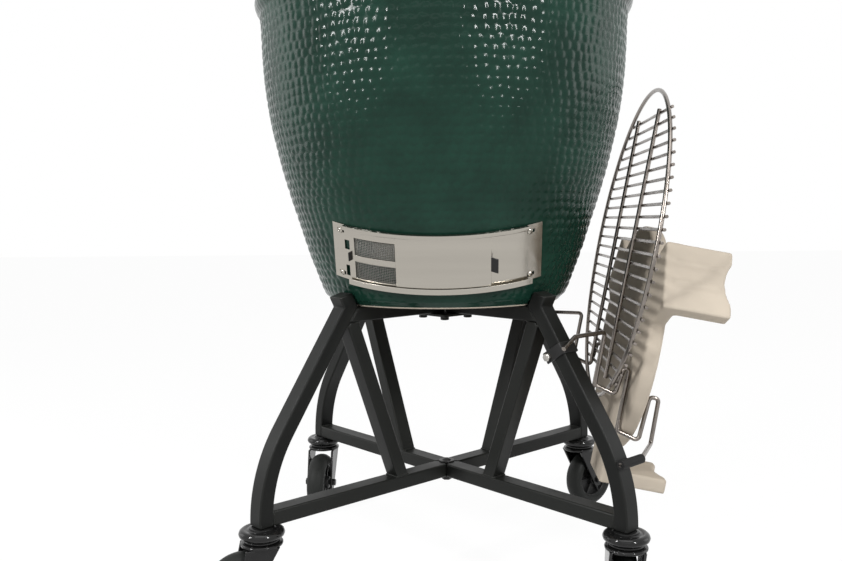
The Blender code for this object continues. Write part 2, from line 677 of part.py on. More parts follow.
def fire_parts():
    base = BOWL_Z + BOWL_FLOOR + GAP
    head = BOWL_Z + BOWL_FLOOR + FIREBOX_HEIGHT
    ledge = BOWL_Z + GRATE_HEIGHT
    seat = GRATE_RADIUS + 0.0015
    shoulder = ledge + GRATE_THICKNESS + 0.002
    profile = [(0.1780, head), (0.1985, head), (0.1860, BOWL_Z + 0.150), (0.1660, BOWL_Z + 0.085), (0.1480, base),
               (0.1120, base), (0.1120, ledge), (seat, ledge), (seat, shoulder)]
    firebox = turned("firebox", profile, closed=True)
    placed(firebox, "raw_ceramic")
    boolean(firebox, vent_tool("ash_port", 0.06, 0.26, -PORT_HALF - 0.004, PORT_HALF - 0.026, PORT_LEFT + 3,
                               PORT_RIGHT - 3))
    low, high = head + GAP, head + GAP + FIRE_RING_HEIGHT
    ring = [(0.1930, high), (0.2180, high), (0.2050, low), (0.1830, low)]
    placed(turned("fire_ring", ring, closed=True), "raw_ceramic")

    grate_low = ledge + GAP
    holes = [circle(GRATE_HOLE, 8)]
    for ring_number, count in ((1, 6), (2, 12)):
        for centre in circle(ring_number * GRATE_PITCH, count, start=0.2 * ring_number):
            holes.append(circle(GRATE_HOLE, 8, centre))
    grate = as_mesh(outline("fire_grate", circle(GRATE_RADIUS, 32), GRATE_THICKNESS, holes))
    placed(grate, "cast_iron", matrix=Matrix.Translation((0, 0, grate_low + GRATE_THICKNESS / 2)))


# ---- Lower vent ---------------------------------------------------------------------------------------------
def vent():
    r0 = VENT_RADIUS
    r1 = r0 + FRAME_SHEET
    lip = r1 + LIP_REACH
    top, low = VENT_HALF, -VENT_HALF
    here = vent_frame_matrix()
    reach, sheet = lip + 0.0006, FRAME_SHEET
    section = [(r0, low), (r0, top), (lip, top), (lip, top - 0.0055), (lip - sheet, top - 0.0055),
               (lip - sheet, top - sheet), (r1, top - sheet), (r1, low + sheet), (reach - sheet, low - 0.0024),
               (reach - sheet, low + CHANNEL_LIP), (reach, low + CHANNEL_LIP), (reach, low - 0.0044)]
    frame = swept("vent_frame", section, FRAME_LEFT, FRAME_RIGHT)
    placed(frame, "stainless", matrix=here)
    boolean(frame, vent_tool("frame_window", r0 - 0.01, r1 + 0.003, -PORT_HALF - 0.0045, PORT_HALF + 0.0035,
                             PORT_LEFT - PORT_MARGIN, PORT_RIGHT + PORT_MARGIN))
    past = 4.0
    for name, start, end, middle in (("rail_start", FRAME_LEFT - past, RAIL_LEFT, top),
                                     ("rail_end", RAIL_RIGHT, FRAME_RIGHT + past, top),
                                     ("channel_start", FRAME_LEFT - past, CHANNEL_LEFT, low),
                                     ("channel_end", CHANNEL_RIGHT, FRAME_RIGHT + past, low)):
        boolean(frame, vent_tool(name, r1 + 0.0002, reach + 0.01, middle - 0.009, middle + 0.009, start, end))
    for across, start, end in ((-38.2, -1.5, 1.5), (33.6, -1.7, 1.7)):
        for rise in (-0.0305, 0.0305):
            slot = vent_tool(f"screw_slot_{across}_{rise}", r0 - 0.01, lip + 0.01, rise - 0.0027, rise + 0.0027,
                             across + start, across + end)
            boolean(frame, slot)

    mesh_in = r1 + SLIDING * 0.4
    mesh_out = mesh_in + 0.0006
    screen_in, screen_out = mesh_out + GAP, mesh_out + GAP + 0.0008
    door_in = screen_out + SLIDING * 0.4
    door_out = door_in + 0.0008
    sheet_low, sheet_high = low + sheet + SLIDING, top - sheet - SLIDING
    screen = slab("screen_door", screen_in, screen_out, sheet_low, sheet_high, SCREEN_LEFT, SCREEN_RIGHT)
    placed(screen, "stainless", SCREEN, here)
    for number, (start, end) in enumerate(WINDOWS):
        boolean(screen, vent_tool(f"screen_window_{number}", screen_in - 0.01, screen_out + 0.01, start, end,
                                  WINDOW_LEFT, WINDOW_RIGHT))
    mesh = slab("screen_mesh", mesh_in, mesh_out, WINDOWS[0][0] - 0.001, WINDOWS[1][1] + 0.003,
                WINDOW_LEFT - 0.8, WINDOW_RIGHT + 0.8)
    placed(mesh, "mesh", SCREEN, here)
    door = slab("vent_door", door_in, door_out, sheet_low, sheet_high, DOOR_LEFT, DOOR_RIGHT)
    placed(door, "stainless", DOOR, here)
    tab = slab("door_tab", door_in + 0.0001, door_out + DOOR_TAB_REACH, -0.0150, -0.0150 + DOOR_TAB_WIDTH,
               DOOR_RIGHT - 0.35, DOOR_RIGHT - 0.02)
    tab.parent = DOOR
    tab.matrix_world = here
    boolean(door, tab, "UNION")


# ---- Bands, hinge and handle --------------------------------------------------------------------------------
def band_section(low):
    inner = RIM_RADIUS + GAP
    return [(inner, low + BAND_HEIGHT), (BAND_OUTER, low + BAND_HEIGHT), (BAND_OUTER, low), (inner, low)]


def ear(name, x, points, boss, parent=ROOT):
    """A plate across X that ends in a round boss on the hinge pin."""
    plate = as_mesh(outline(name, points, HINGE_EAR))
    reshaped(plate, Matrix(((0, 0, 1, x), (1, 0, 0, 0), (0, 1, 0, 0), (0, 0, 0, 1))))
    plate.parent = parent
    return plate


def bands_and_hinge():
    lower_low = BOWL_TOP - BAND_HEIGHT - 0.003
    upper_low = DOME_Z + 0.003
    placed(turned("lower_band", band_section(lower_low), closed=True), "black_powder_coat")
    upper = turned("upper_band", band_section(upper_low), closed=True)
    placed(upper, "black_powder_coat", LID)
    for sign in (-1, 1):
        x = sign * (HANDLE_SPAN / 2 - HANDLE_ARM / 2)
        inner = -math.sqrt(RIM_RADIUS ** 2 - (HANDLE_SPAN / 2) ** 2) + 0.010
        outer = -BAND_OUTER - HANDLE_REACH
        low, high = upper_low + 0.002, upper_low + BAND_HEIGHT - 0.002
        shape = [(outer + 0.004, low - 0.010), (outer + 0.030, low - 0.010), (outer + 0.045, low), (inner, low),
                 (inner, high), (outer, high), (outer - 0.0035, low + 0.008)]
        arm = as_mesh(outline(f"handle_arm_{sign}", shape, HANDLE_ARM))
        reshaped(arm, Matrix(((0, 0, 1, x), (1, 0, 0, 0), (0, 1, 0, 0), (0, 0, 0, 1))))
        arm.parent = LID
        arm.matrix_world = Matrix.Identity(4)
        hollow = turned(f"handle_arm_hollow_{sign}", [(0, high + 0.05), (RIM_RADIUS + GAP + 0.0010, high + 0.05),
                                                      (RIM_RADIUS + GAP + 0.0010, low - 0.05), (0, low - 0.05)])
        hollow.parent = LID
        hollow.matrix_world = Matrix.Identity(4)
        boolean(arm, hollow)
        boolean(upper, arm, "UNION")
    reach = HANDLE_SPAN / 2 - HANDLE_ARM - GAP
    bar_y = -BAND_OUTER - HANDLE_REACH + 0.0165
    bar_z = upper_low + 0.0045
    r = HANDLE_RADIUS
    profile = [(0, reach), (r * 0.72, reach), (r * 0.86, reach - 0.006), (r * 0.94, reach - 0.030), (r, 0.0)]
    profile += [(a, -b) for a, b in profile[-2::-1]]
    grip = turned("handle_bar", profile, 16)
    placed(grip, "wood", LID, Matrix.Translation((0, bar_y, bar_z)) @ Matrix.Rotation(math.pi / 2, 4, "Y"))

    for name, parent, low, x, finish in (("hinge_lower_bracket", ROOT, lower_low, LOWER_EAR_X, "black_powder_coat"),
                                         ("hinge_upper_bracket", LID, upper_low, UPPER_EAR_X,
                                          "black_powder_coat")):
        plate = swept(name, [(BAND_OUTER + GAP, low + 0.001), (BAND_OUTER + GAP + 0.004, low + 0.001),
                             (BAND_OUTER + GAP + 0.004, low + BAND_HEIGHT - 0.001),
                             (BAND_OUTER + GAP, low + BAND_HEIGHT - 0.001)], 180 - 17, 180 + 17)
        placed(plate, finish, parent)
        start_y = math.sqrt((BAND_OUTER + GAP + 0.0010) ** 2 - (x + HINGE_EAR / 2) ** 2) + 0.0008
        round_end = arc((HINGE_Y, HINGE_Z), HINGE_BOSS, -100, 100, 6)
        shape = [(start_y, low + BAND_HEIGHT - 0.002), (start_y, low + 0.002), *round_end]
        for sign in (-1, 1):
            side = ear(f"{name}_ear_{sign}", sign * x, shape, HINGE_BOSS, parent)
            side.matrix_world = Matrix.Identity(4)
            boolean(plate, side, "UNION")
        bore = cylinder(name + "_bore", HINGE_PIN_RADIUS + RUNNING, (-0.1, HINGE_Y, HINGE_Z),
                        (0.1, HINGE_Y, HINGE_Z), 12)
        bore.parent = parent
        bore.matrix_world = Matrix.Identity(4)
        boolean(plate, bore)

    end = UPPER_EAR_X + HINGE_EAR / 2 + 0.001
    head = 0.0085
    pin = [(0, end + 0.005), (head, end + 0.005), (head, end), (HINGE_PIN_RADIUS, end), (HINGE_PIN_RADIUS, -end),
           (head, -end), (head, -end - 0.005), (0, -end - 0.005)]
    placed(turned("hinge_pin", pin, 16), "galvanised",
           matrix=Matrix.Translation((0, HINGE_Y, HINGE_Z)) @ Matrix.Rotation(math.pi / 2, 4, "Y"))
    for side, sign in (("left", -1), ("right", 1)):
        start, stop = 0.010, LOWER_EAR_X - HINGE_EAR / 2 - SPRING_WIRE - GAP
        count = SPRING_TURNS * 8
        coil = [Vector((sign * (start + (stop - start) * i / count),
                        HINGE_Y + SPRING_RADIUS * math.cos(math.pi * i / 4),
                        HINGE_Z + SPRING_RADIUS * math.sin(math.pi * i / 4))) for i in range(count + 1)]
        placed(as_mesh(tube("hinge_spring_" + side, coil, SPRING_WIRE, 1)), "spring_steel")


# ---- Thermometer and chimney top ----------------------------------------------------------------------------
def dial_matrix():
    """Local Z points out of the dial, at its back face, which lies on the dome's wall."""
    outer = dome_outer()
    (r0, z0), (r1, z1) = next(pair for pair in zip(outer, outer[1:]) if pair[0][1] <= DIAL_HEIGHT < pair[1][1])
    lean = math.atan2(r0 - r1, z1 - z0)
    wall = r0 + (r1 - r0) * (DIAL_HEIGHT - z0) / (z1 - z0)
    place = Matrix.Translation((0, -wall, DOME_Z + DIAL_HEIGHT))
    return place @ Matrix.Rotation(math.pi / 2 - lean, 4, "X") @ Matrix.Translation((0, 0, 2 * GAP))


def thermometer():
    face, rim = DIAL_DEPTH - 0.006, DIAL_DEPTH
    profile = [(0, face), (DIAL_RADIUS - 0.004, face), (DIAL_RADIUS - 0.004, rim), (DIAL_RADIUS - 0.001, rim),
               (DIAL_RADIUS, rim - 0.002), (DIAL_RADIUS, 0.003), (DIAL_RADIUS - 0.006, 0), (STEM_RADIUS, 0),
               (STEM_RADIUS, -STEM_LENGTH), (0, -STEM_LENGTH - 0.004)]
    placed(turned("thermometer_case", profile, 20), "dial_black", LID, dial_matrix())
    pointer = [(-0.003, -0.008), (0.003, -0.008), (0.0022, 0.004), (0.0006, NEEDLE_LENGTH),
               (-0.0006, NEEDLE_LENGTH), (-0.0022, 0.004)]
    needle = as_mesh(outline("thermometer_needle", pointer, 0.001))
    turn = Matrix.Rotation(math.radians(135), 4, "Z")
    boss = cylinder("needle_boss", 0.0045, (0, 0, -0.0008), (0, 0, 0.0016), 12)
    here = dial_matrix() @ Matrix.Translation((0, 0, face + 0.0008 + GAP)) @ turn
    placed(needle, "needle_red", NEEDLE, here)
    boss.parent = NEEDLE
    boss.matrix_world = here
    boolean(needle, boss, "UNION")


def petal_disc(name, radius, low, high, sides, eyes=()):
    """A flat disc with a ring of draught holes and any further holes."""
    holes = [circle(DAMPER_HOLE, 10, centre) for centre in circle(DAMPER_HOLE_CIRCLE, DAMPER_HOLES)]
    disc = as_mesh(outline(name, circle(radius, sides), high - low, [*holes, *eyes]))
    return disc, Matrix.Translation((0, 0, (low + high) / 2))


def chimney_top():
    inner = NECK_OUTER + GAP
    foot = CHIMNEY_TOP - 0.009
    top = CHIMNEY_TOP + DAMPER_SHEET
    collar = [(NECK_INNER - 0.001, top), (inner + 0.005, top), (inner + 0.005, foot), (inner, foot),
              (inner, CHIMNEY_TOP + GAP), (NECK_INNER - 0.001, CHIMNEY_TOP + GAP)]
    base = turned("damper_base", collar, TURN_STEPS, closed=True)
    placed(base, "cast_iron", LID)
    post = cylinder("pivot_post", PIVOT_RADIUS, (0, PIVOT_CIRCLE, top - 0.001),
                    (0, PIVOT_CIRCLE, COVER_Z + DAMPER_SHEET + 0.004), 12)
    post.parent = LID
    post.matrix_world = Matrix.Identity(4)
    boolean(base, post, "UNION")

    high = COVER_Z + DAMPER_SHEET
    disc_low, disc_high = high + GAP, high + GAP + 0.003
    boss, cap = 0.0045, 0.0080
    eye = circle(PIVOT_RADIUS + RUNNING, 12, (0, PIVOT_CIRCLE))
    cover, here = petal_disc("damper_cover", DAMPER_RADIUS, COVER_Z, high, 36, [eye])
    placed(cover, "cast_iron", COVER, here)
    stud = turned("cover_stud", [(0, disc_high + 0.005), (cap, disc_high + 0.004), (cap, disc_high + GAP),
                                 (boss, disc_high + GAP), (boss, high - 0.002), (0, high - 0.002)], 12)
    tab = box("cover_tab", (-0.009, -DAMPER_RADIUS - 0.018, COVER_Z + 0.0004),
              (0.009, -DAMPER_RADIUS + 0.004, high - 0.0004))
    for tool in (stud, tab):
        tool.parent = COVER
        tool.matrix_world = Matrix.Identity(4)
        boolean(cover, tool, "UNION")

    axle_hole = circle(boss + RUNNING, 12)
    disc, here = petal_disc("damper_wheel", WHEEL_DISC_RADIUS, disc_low, disc_high, 32, [axle_hole])
    placed(disc, "cast_iron", DRAUGHT, here)
    knob = cylinder("wheel_knob", 0.003, (0, 0.0395, disc_high - 0.001), (0, 0.0395, disc_high + 0.010), 10)
    knob.parent = DRAUGHT
    knob.matrix_world = Matrix.Identity(4)
    boolean(disc, knob, "UNION")


# ---- Side rack ----------------------------------------------------------------------------------------------
NORMAL = Vector((math.cos(RACK_TILT), 0.0, -math.sin(RACK_TILT)))
UPWARD = Vector((math.sin(RACK_TILT), 0.0, math.cos(RACK_TILT)))


def rack_matrix(forward, rise):
    """Local Z is the racked pieces' normal, local X runs up in their plane, local Y is the grill's Y."""
    centre = DEFLECTOR_CENTRE + NORMAL * forward + UPWARD * rise
    axes = Matrix((UPWARD, Vector((0, 1, 0)), NORMAL)).transposed().to_4x4()
    if axes.determinant() < 0:
        axes = Matrix((UPWARD, Vector((0, -1, 0)), NORMAL)).transposed().to_4x4()
    return Matrix.Translation(centre) @ axes


def seat_drop(radius):
    """How far under the middle of a round piece a side wire runs, so that it just touches its edge."""
    return math.sqrt((radius + RACK_WIRE + GAP) ** 2 - RACK_HALF ** 2)


def rack_wire_path(sign):
    """From the clamp on the leg, through the two troughs, to the sleeve on the leg."""
    half = DEFLECTOR_THICKNESS / 2
    grid_seat = GRID_RISE - seat_drop(GRID_RADIUS + GRID_WIRE) - 0.0012
    plate_seat = -seat_drop(DEFLECTOR_RADIUS) - 0.0004
    loop_low = -GRID_SETBACK + GRID_WIRE + 2 * ROD_WIRE + RACK_WIRE + 0.0028
    plate_left = -half - RACK_WIRE - SLIDING - 0.0008
    plate_right = half + RACK_WIRE + 0.0055
    course = [(-0.0575, 0.0120), (-0.0575, grid_seat + 0.005), (-0.0280, grid_seat - 0.0032),
              (loop_low, -0.0330), (plate_left, -0.0330), (plate_left, plate_seat + 0.0030),
              (plate_right - 0.0035, plate_seat - 0.0055), (plate_right, -0.0650), (plate_right + 0.0125, -0.0650),
              (plate_right + 0.0140, -0.1290)]
    points = []
    for forward, rise in course:
        p = DEFLECTOR_CENTRE + NORMAL * forward + UPWARD * rise
        points.append(Vector((p.x, sign * RACK_HALF, p.z)))
    out = Vector((math.sqrt(0.5), sign * math.sqrt(0.5), 0.0))
    side = Vector((math.sqrt(0.5), -sign * math.sqrt(0.5), 0.0))

    def on_leg(along, height, standoff):
        radius = leg_outer_x(height) + standoff / math.sin(LEG_SLOPE)
        return out * radius + side * along + Vector((0, 0, CASTER_HEIGHT + height))

    upper = [on_leg(-TUBE_WIDTH / 2 - 0.004, 0.222, RACK_WIRE + CLAMP_SHEET + 2 * GAP),
             on_leg(TUBE_WIDTH / 2 + 0.004, 0.234, RACK_WIRE + CLAMP_SHEET + 2 * GAP)]
    lower = [on_leg(TUBE_WIDTH / 2 + 0.016, 0.086, SLEEVE_RADIUS + 0.0012),
             on_leg(-TUBE_WIDTH / 2 - 0.003, 0.086, SLEEVE_RADIUS + 0.0012)]
    return upper, points, lower


def rack_wires():
    for side, sign in (("front", -1), ("rear", 1)):
        upper, points, lower = rack_wire_path(sign)
        path = rounded(upper + points + lower, RACK_BEND, 2)
        wire = as_mesh(tube("rack_wire_" + side, path, RACK_WIRE, 1))
        placed(wire, "rack_wire")
        sleeve = as_mesh(tube("sleeve_" + side, [lower[0], lower[1]], SLEEVE_RADIUS))
        sleeve.parent = ROOT
        boolean(wire, sleeve, "UNION")
        corner = side + "_right"
        clamp(corner, "rack_clamp_" + side, sign)


def clamp(corner, name, sign):
    """A sheet bent round three sides of the leg, with its bolt behind, square to the leg's slope."""
    level = 0.222
    frame = side_frame(LEG_ANGLES[corner])
    outer = leg_outer_x(level)
    lean = Matrix.Rotation(math.pi / 2 - LEG_SLOPE, 4, "Z")
    here = frame @ Matrix.Translation((outer, level, 0)) @ lean
    half = TUBE_WIDTH / 2 + GAP
    sheet, tall = CLAMP_SHEET, CLAMP_WIDTH / 2
    deep = TUBE_DEPTH + 0.011
    body = box(name, (GAP, -tall, -half - sheet), (GAP + sheet, tall, half + sheet))
    placed(body, "black_steel", matrix=here)
    bolt_x = -TUBE_DEPTH - 0.0055
    for turn in (-1, 1):
        low, high = sorted((turn * half, turn * (half + sheet)))
        cheek = box(f"{name}_cheek_{turn}", (-deep, -tall, low), (GAP + sheet * 0.9, tall, high))
        head_low, head_high = sorted((turn * (half + sheet - 0.0006), turn * (half + sheet + 0.0045)))
        head = cylinder(f"{name}_head_{turn}", 0.0058, (bolt_x, 0, head_low), (bolt_x, 0, head_high), 10)
        for tool in (cheek, head):
            tool.parent = ROOT
            tool.matrix_world = here
            boolean(body, tool, "UNION")
    bolt = cylinder(name + "_bolt", 0.003, (bolt_x, 0, -half - sheet + 0.0004), (bolt_x, 0, half + sheet - 0.0004),
                    10)
    bolt.parent = ROOT
    bolt.matrix_world = here
    boolean(body, bolt, "UNION")


def cooking_grid():
    here = rack_matrix(-GRID_SETBACK, GRID_RISE)
    bpy.ops.mesh.primitive_torus_add(major_radius=GRID_RADIUS, minor_radius=GRID_WIRE, major_segments=48,
                                     minor_segments=6)
    ring = bpy.context.object
    for group in list(ring.users_collection):
        group.objects.unlink(ring)
    ring.name = ring.data.name = "cooking_grid"
    placed(ring, "rack_wire", GRID, here)
    lift = GRID_WIRE + ROD_WIRE - 0.0009
    first = -(ROD_COUNT - 1) / 2 * ROD_PITCH
    rods = []
    for i in range(ROD_COUNT):
        x = first + i * ROD_PITCH
        reach = math.sqrt(GRID_RADIUS ** 2 - x ** 2) + ROD_OVERHANG
        rods.append(cylinder(f"grid_rod_{i}", ROD_WIRE, (x, -reach, lift), (x, reach, lift), 4))
    end = -first + 0.004
    for sign in (-1, 1):
        rods.append(cylinder(f"grid_bar_{sign}", GRID_WIRE, (-end, sign * BAR_OFFSET, 0), (end, sign * BAR_OFFSET, 0),
                             6))
    for rod in rods:
        rod.parent = GRID
        rod.matrix_world = here
        boolean(ring, rod, "UNION")


def heat_deflector():
    here = rack_matrix(0.0, 0.0)
    half = DEFLECTOR_THICKNESS / 2
    soft = 0.004
    profile = [(0, half), (DEFLECTOR_RADIUS - soft, half), (DEFLECTOR_RADIUS - 0.0012, half - 0.0012),
               (DEFLECTOR_RADIUS, half - soft)]
    profile += [(r, -z) for r, z in profile[::-1]]
    disc = turned("heat_deflector", profile, 36)
    placed(disc, "raw_ceramic", DEFLECTOR, here)
    disc.data.materials[0].name = "deflector_ceramic"
    for number in range(3):
        turn = Matrix.Rotation(math.radians(180 + 120 * number), 4, "Z")
        wide = DEFLECTOR_LEG_WIDTH / 2
        outer = DEFLECTOR_LEG_CIRCLE + DEFLECTOR_LEG_THICKNESS / 2
        inner = DEFLECTOR_LEG_CIRCLE - DEFLECTOR_LEG_THICKNESS / 2
        tip = half + DEFLECTOR_LEG_LENGTH
        ear_shape = box(f"deflector_ear_{number}", (0.110, -wide, -half + 0.0006), (outer, wide, half - 0.0006))
        leg = box(f"deflector_leg_{number}", (inner, -wide + 0.0005, -0.002), (outer - 0.0005, wide - 0.0005, tip))
        notch = cylinder(f"deflector_notch_{number}", 0.055, (0.10, 0, tip + 0.046), (0.30, 0, tip + 0.046), 20)
        for tool, operation in ((ear_shape, "UNION"), (leg, "UNION"), (notch, "DIFFERENCE")):
            tool.parent = DEFLECTOR
            tool.matrix_world = here @ turn
            boolean(disc, tool, operation)


# ---- Pivots of the moving pieces, then the grill itself -----------------------------------------------------
LID = empty("lid_hinge", (0, HINGE_Y, HINGE_Z), ROOT)
DOOR = empty("door_axis", (0, 0, BOWL_Z + VENT_AXIS_HEIGHT), ROOT, (VENT_LEAN, 0, 0))
SCREEN = empty("screen_axis", (0, 0, BOWL_Z + VENT_AXIS_HEIGHT), ROOT, (VENT_LEAN, 0, 0))
COVER = empty("cover_pivot", Vector((0, PIVOT_CIRCLE, COVER_Z)) - LID.location, LID)
DRAUGHT = empty("draught_axis", (0, -PIVOT_CIRCLE, 0), COVER)
GRID = empty("grid_slide", DEFLECTOR_CENTRE, ROOT)
DEFLECTOR = empty("deflector_slide", DEFLECTOR_CENTRE, ROOT)
NEEDLE = empty("needle_pivot", dial_matrix().to_translation() - LID.location, LID)
bpy.context.view_layer.update()

stand()
stand_fasteners()
casters()
ceramics()
fire_parts()
vent()
bands_and_hinge()
thermometer()
chimney_top()
rack_wires()
cooking_grid()
heat_deflector()


def centre_on_floor():
    """Moves the grill so that the middle of its footprint is over the origin."""
    bpy.context.view_layer.update()
    graph = bpy.context.evaluated_depsgraph_get()
    low, high = Vector((1e9,) * 3), Vector((-1e9,) * 3)
    for obj in PARTS.objects:
        if obj.type == "EMPTY":
            continue
        final = obj.evaluated_get(graph)
        for corner in final.data.vertices:
            point = obj.matrix_world @ corner.co
            low = Vector(map(min, low, point))
            high = Vector(map(max, high, point))
    ROOT.location = (-(low.x + high.x) / 2, -(low.y + high.y) / 2, -low.z)
    bpy.context.view_layer.update()


centre_on_floor()
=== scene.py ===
"""Looks of the ceramic grill: fine surfaces, materials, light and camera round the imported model.

Every place is measured from the bowl's axis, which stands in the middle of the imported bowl, with the floor
at z = 0. Angles round that axis are in degrees, 0 at the front (-Y) and positive towards +X.
"""

import math
import random

import bmesh
import bpy
from mathutils import Matrix, Vector, kdtree

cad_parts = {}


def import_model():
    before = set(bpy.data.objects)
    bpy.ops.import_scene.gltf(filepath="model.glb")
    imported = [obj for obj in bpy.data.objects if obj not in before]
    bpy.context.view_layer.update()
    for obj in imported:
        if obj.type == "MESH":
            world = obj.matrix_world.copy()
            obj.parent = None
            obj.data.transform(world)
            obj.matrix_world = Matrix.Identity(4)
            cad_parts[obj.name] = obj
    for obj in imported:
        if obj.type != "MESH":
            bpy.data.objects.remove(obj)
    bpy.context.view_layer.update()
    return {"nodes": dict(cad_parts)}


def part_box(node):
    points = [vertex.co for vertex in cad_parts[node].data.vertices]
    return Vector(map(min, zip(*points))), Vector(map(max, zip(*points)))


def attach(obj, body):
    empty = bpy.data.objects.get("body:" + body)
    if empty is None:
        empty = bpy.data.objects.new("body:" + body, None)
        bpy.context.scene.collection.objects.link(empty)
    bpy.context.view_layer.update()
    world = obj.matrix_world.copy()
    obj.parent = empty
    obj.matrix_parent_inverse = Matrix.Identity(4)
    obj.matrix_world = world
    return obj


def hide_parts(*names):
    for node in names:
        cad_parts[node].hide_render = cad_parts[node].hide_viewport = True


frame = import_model()
bowl_low, bowl_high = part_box("bowl")
AXIS = Vector(((bowl_low.x + bowl_high.x) / 2, (bowl_low.y + bowl_high.y) / 2, 0.0))
HOME = Matrix.Translation(AXIS)

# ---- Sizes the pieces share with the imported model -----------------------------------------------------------
GAP = 0.0003
RAIL_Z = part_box("base_rail_front_left")[0].z
STAND_HEIGHT = 0.273
BOWL_Z = bowl_low.z
BOWL_TOP = bowl_high.z
DOME_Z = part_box("dome")[0].z
DOME_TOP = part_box("dome")[1].z
RIM = 0.269
FOOT_RADIUS = 0.3288
TUBE_WIDTH, TUBE_DEPTH = 0.026, 0.020
LEG_SLOPE, LEG_BEND, LEG_FOOT = math.radians(56.1), 0.2065, 0.0022
LEG_ANGLES = {"front_left": -135.0, "front_right": -45.0, "rear_right": 45.0, "rear_left": 135.0}
CASTER_HEADINGS = {"front_left": 205.0, "front_right": 88.0, "rear_right": 40.0, "rear_left": 265.0}
TRAIL, WHEEL_R, WHEEL_W = 0.026, 0.050, 0.032
VENT_LEAN, VENT_R, VENT_HALF = math.radians(20.0), 0.2149, 0.039
VENT = HOME @ Matrix.Translation((0, 0, BOWL_Z + 0.1366)) @ Matrix.Rotation(VENT_LEAN, 4, "X")
RACK_TILT = math.radians(10.9)
DEFLECTOR = AXIS + Vector((0.277, 0.0, RAIL_Z + 0.213))
VENT_TURN = Matrix.Rotation(-VENT_LEAN, 3, "X")
PORT = (-29.5, -2.0, 0.0270)


# ---- Meshes -------------------------------------------------------------------------------------------------
def put(obj, material, body, cad=(), smooth=40.0):
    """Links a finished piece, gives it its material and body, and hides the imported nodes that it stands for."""
    if not obj.users_collection:
        bpy.context.scene.collection.objects.link(obj)
    obj.data.materials.clear()
    obj.data.materials.append(MATERIALS[material][0])
    if obj.type == "MESH":
        obj.data.shade_smooth()
        if smooth:
            obj.data.set_sharp_from_angle(angle=math.radians(smooth))
    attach(obj, body)
    if cad:
        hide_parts(*([cad] if isinstance(cad, str) else cad))
    return obj


def from_bmesh(name, edit, matrix=None):
    if matrix is not None:
        bmesh.ops.transform(edit, matrix=matrix, verts=edit.verts)
    bmesh.ops.recalc_face_normals(edit, faces=edit.faces)
    mesh = bpy.data.meshes.new(name)
    edit.to_mesh(mesh)
    edit.free()
    return bpy.data.objects.new(name, mesh)


def bevelled(obj, width, segments=2, angle=30.0):
    edge = obj.modifiers.new("edge", "BEVEL")
    edge.width, edge.segments, edge.limit_method = width, segments, "ANGLE"
    edge.angle_limit = math.radians(angle)
    edge.use_clamp_overlap = True
    return obj


def prism(edit, points, thickness, matrix=None):
    """A flat outline in local XY, centred on it in local Z."""
    verts = [edit.verts.new((x, y, -thickness / 2)) for x, y in points]
    face = edit.faces.new(verts)
    top = bmesh.ops.extrude_face_region(edit, geom=[face])["geom"]
    raised = [v for v in top if isinstance(v, bmesh.types.BMVert)]
    bmesh.ops.translate(edit, vec=(0, 0, thickness), verts=raised)
    if matrix is not None:
        bmesh.ops.transform(edit, matrix=matrix, verts=verts + raised)


def plate(name, points, thickness, matrix):
    edit = bmesh.new()
    prism(edit, points, thickness)
    return from_bmesh(name, edit, matrix)


def box_into(edit, low, high, matrix=None):
    low, high = Vector(low), Vector(high)
    size = Matrix.Diagonal((*(high - low), 1.0))
    place = (matrix or Matrix.Identity(4)) @ Matrix.Translation((low + high) / 2) @ size
    bmesh.ops.create_cube(edit, size=1.0, matrix=place)


def rod_into(edit, radius, start, end, sides=16, matrix=None):
    start, end = Vector(start), Vector(end)
    turn = Vector((0, 0, 1)).rotation_difference(end - start).to_matrix().to_4x4()
    place = (matrix or Matrix.Identity(4)) @ Matrix.Translation((start + end) / 2) @ turn
    bmesh.ops.create_cone(edit, cap_ends=True, segments=sides, radius1=radius, radius2=radius,
                          depth=(end - start).length, matrix=place)


def lathe_into(edit, profile, steps, closed=False, matrix=None):
    """A profile of (radius, height) points turned about local Z."""
    verts = [edit.verts.new((r, 0.0, z)) for r, z in profile]
    edges = [edit.edges.new(pair) for pair in zip(verts, verts[1:])]
    if closed:
        edges.append(edit.edges.new((verts[-1], verts[0])))
    before = set(edit.verts) - set(verts)
    bmesh.ops.spin(edit, geom=verts + edges, cent=(0, 0, 0), axis=(0, 0, 1), angle=2 * math.pi, steps=steps,
                   use_merge=False, use_duplicate=False)
    new = [v for v in edit.verts if v not in before]
    bmesh.ops.remove_doubles(edit, verts=new, dist=0.000005)
    if matrix is not None:
        new = [v for v in edit.verts if v not in before]
        bmesh.ops.transform(edit, matrix=matrix, verts=new)


def lathe(name, profile, steps=96, closed=False, matrix=None):
    edit = bmesh.new()
    lathe_into(edit, profile, steps, closed)
    return from_bmesh(name, edit, matrix)


def swept_into(edit, section, start, end, facet=1.5):
    """A closed (radius, height) section turned about local Z between two angles, 0 at the front."""
    count = max(1, round((end - start) / facet))
    angle = math.radians(start - 90.0)
    face = edit.faces.new([edit.verts.new((r * math.cos(angle), r * math.sin(angle), z)) for r, z in section])
    bmesh.ops.spin(edit, geom=[face, *face.edges, *face.verts], cent=(0, 0, 0), axis=(0, 0, 1), steps=count,
                   angle=math.radians(end - start), use_merge=False, use_duplicate=False)


def swept(name, section, start, end, matrix, facet=1.5):
    edit = bmesh.new()
    swept_into(edit, section, start, end, facet)
    return from_bmesh(name, edit, matrix)


def slab(inner, outer, low, high):
    return [(inner, low), (outer, low), (outer, high), (inner, high)]


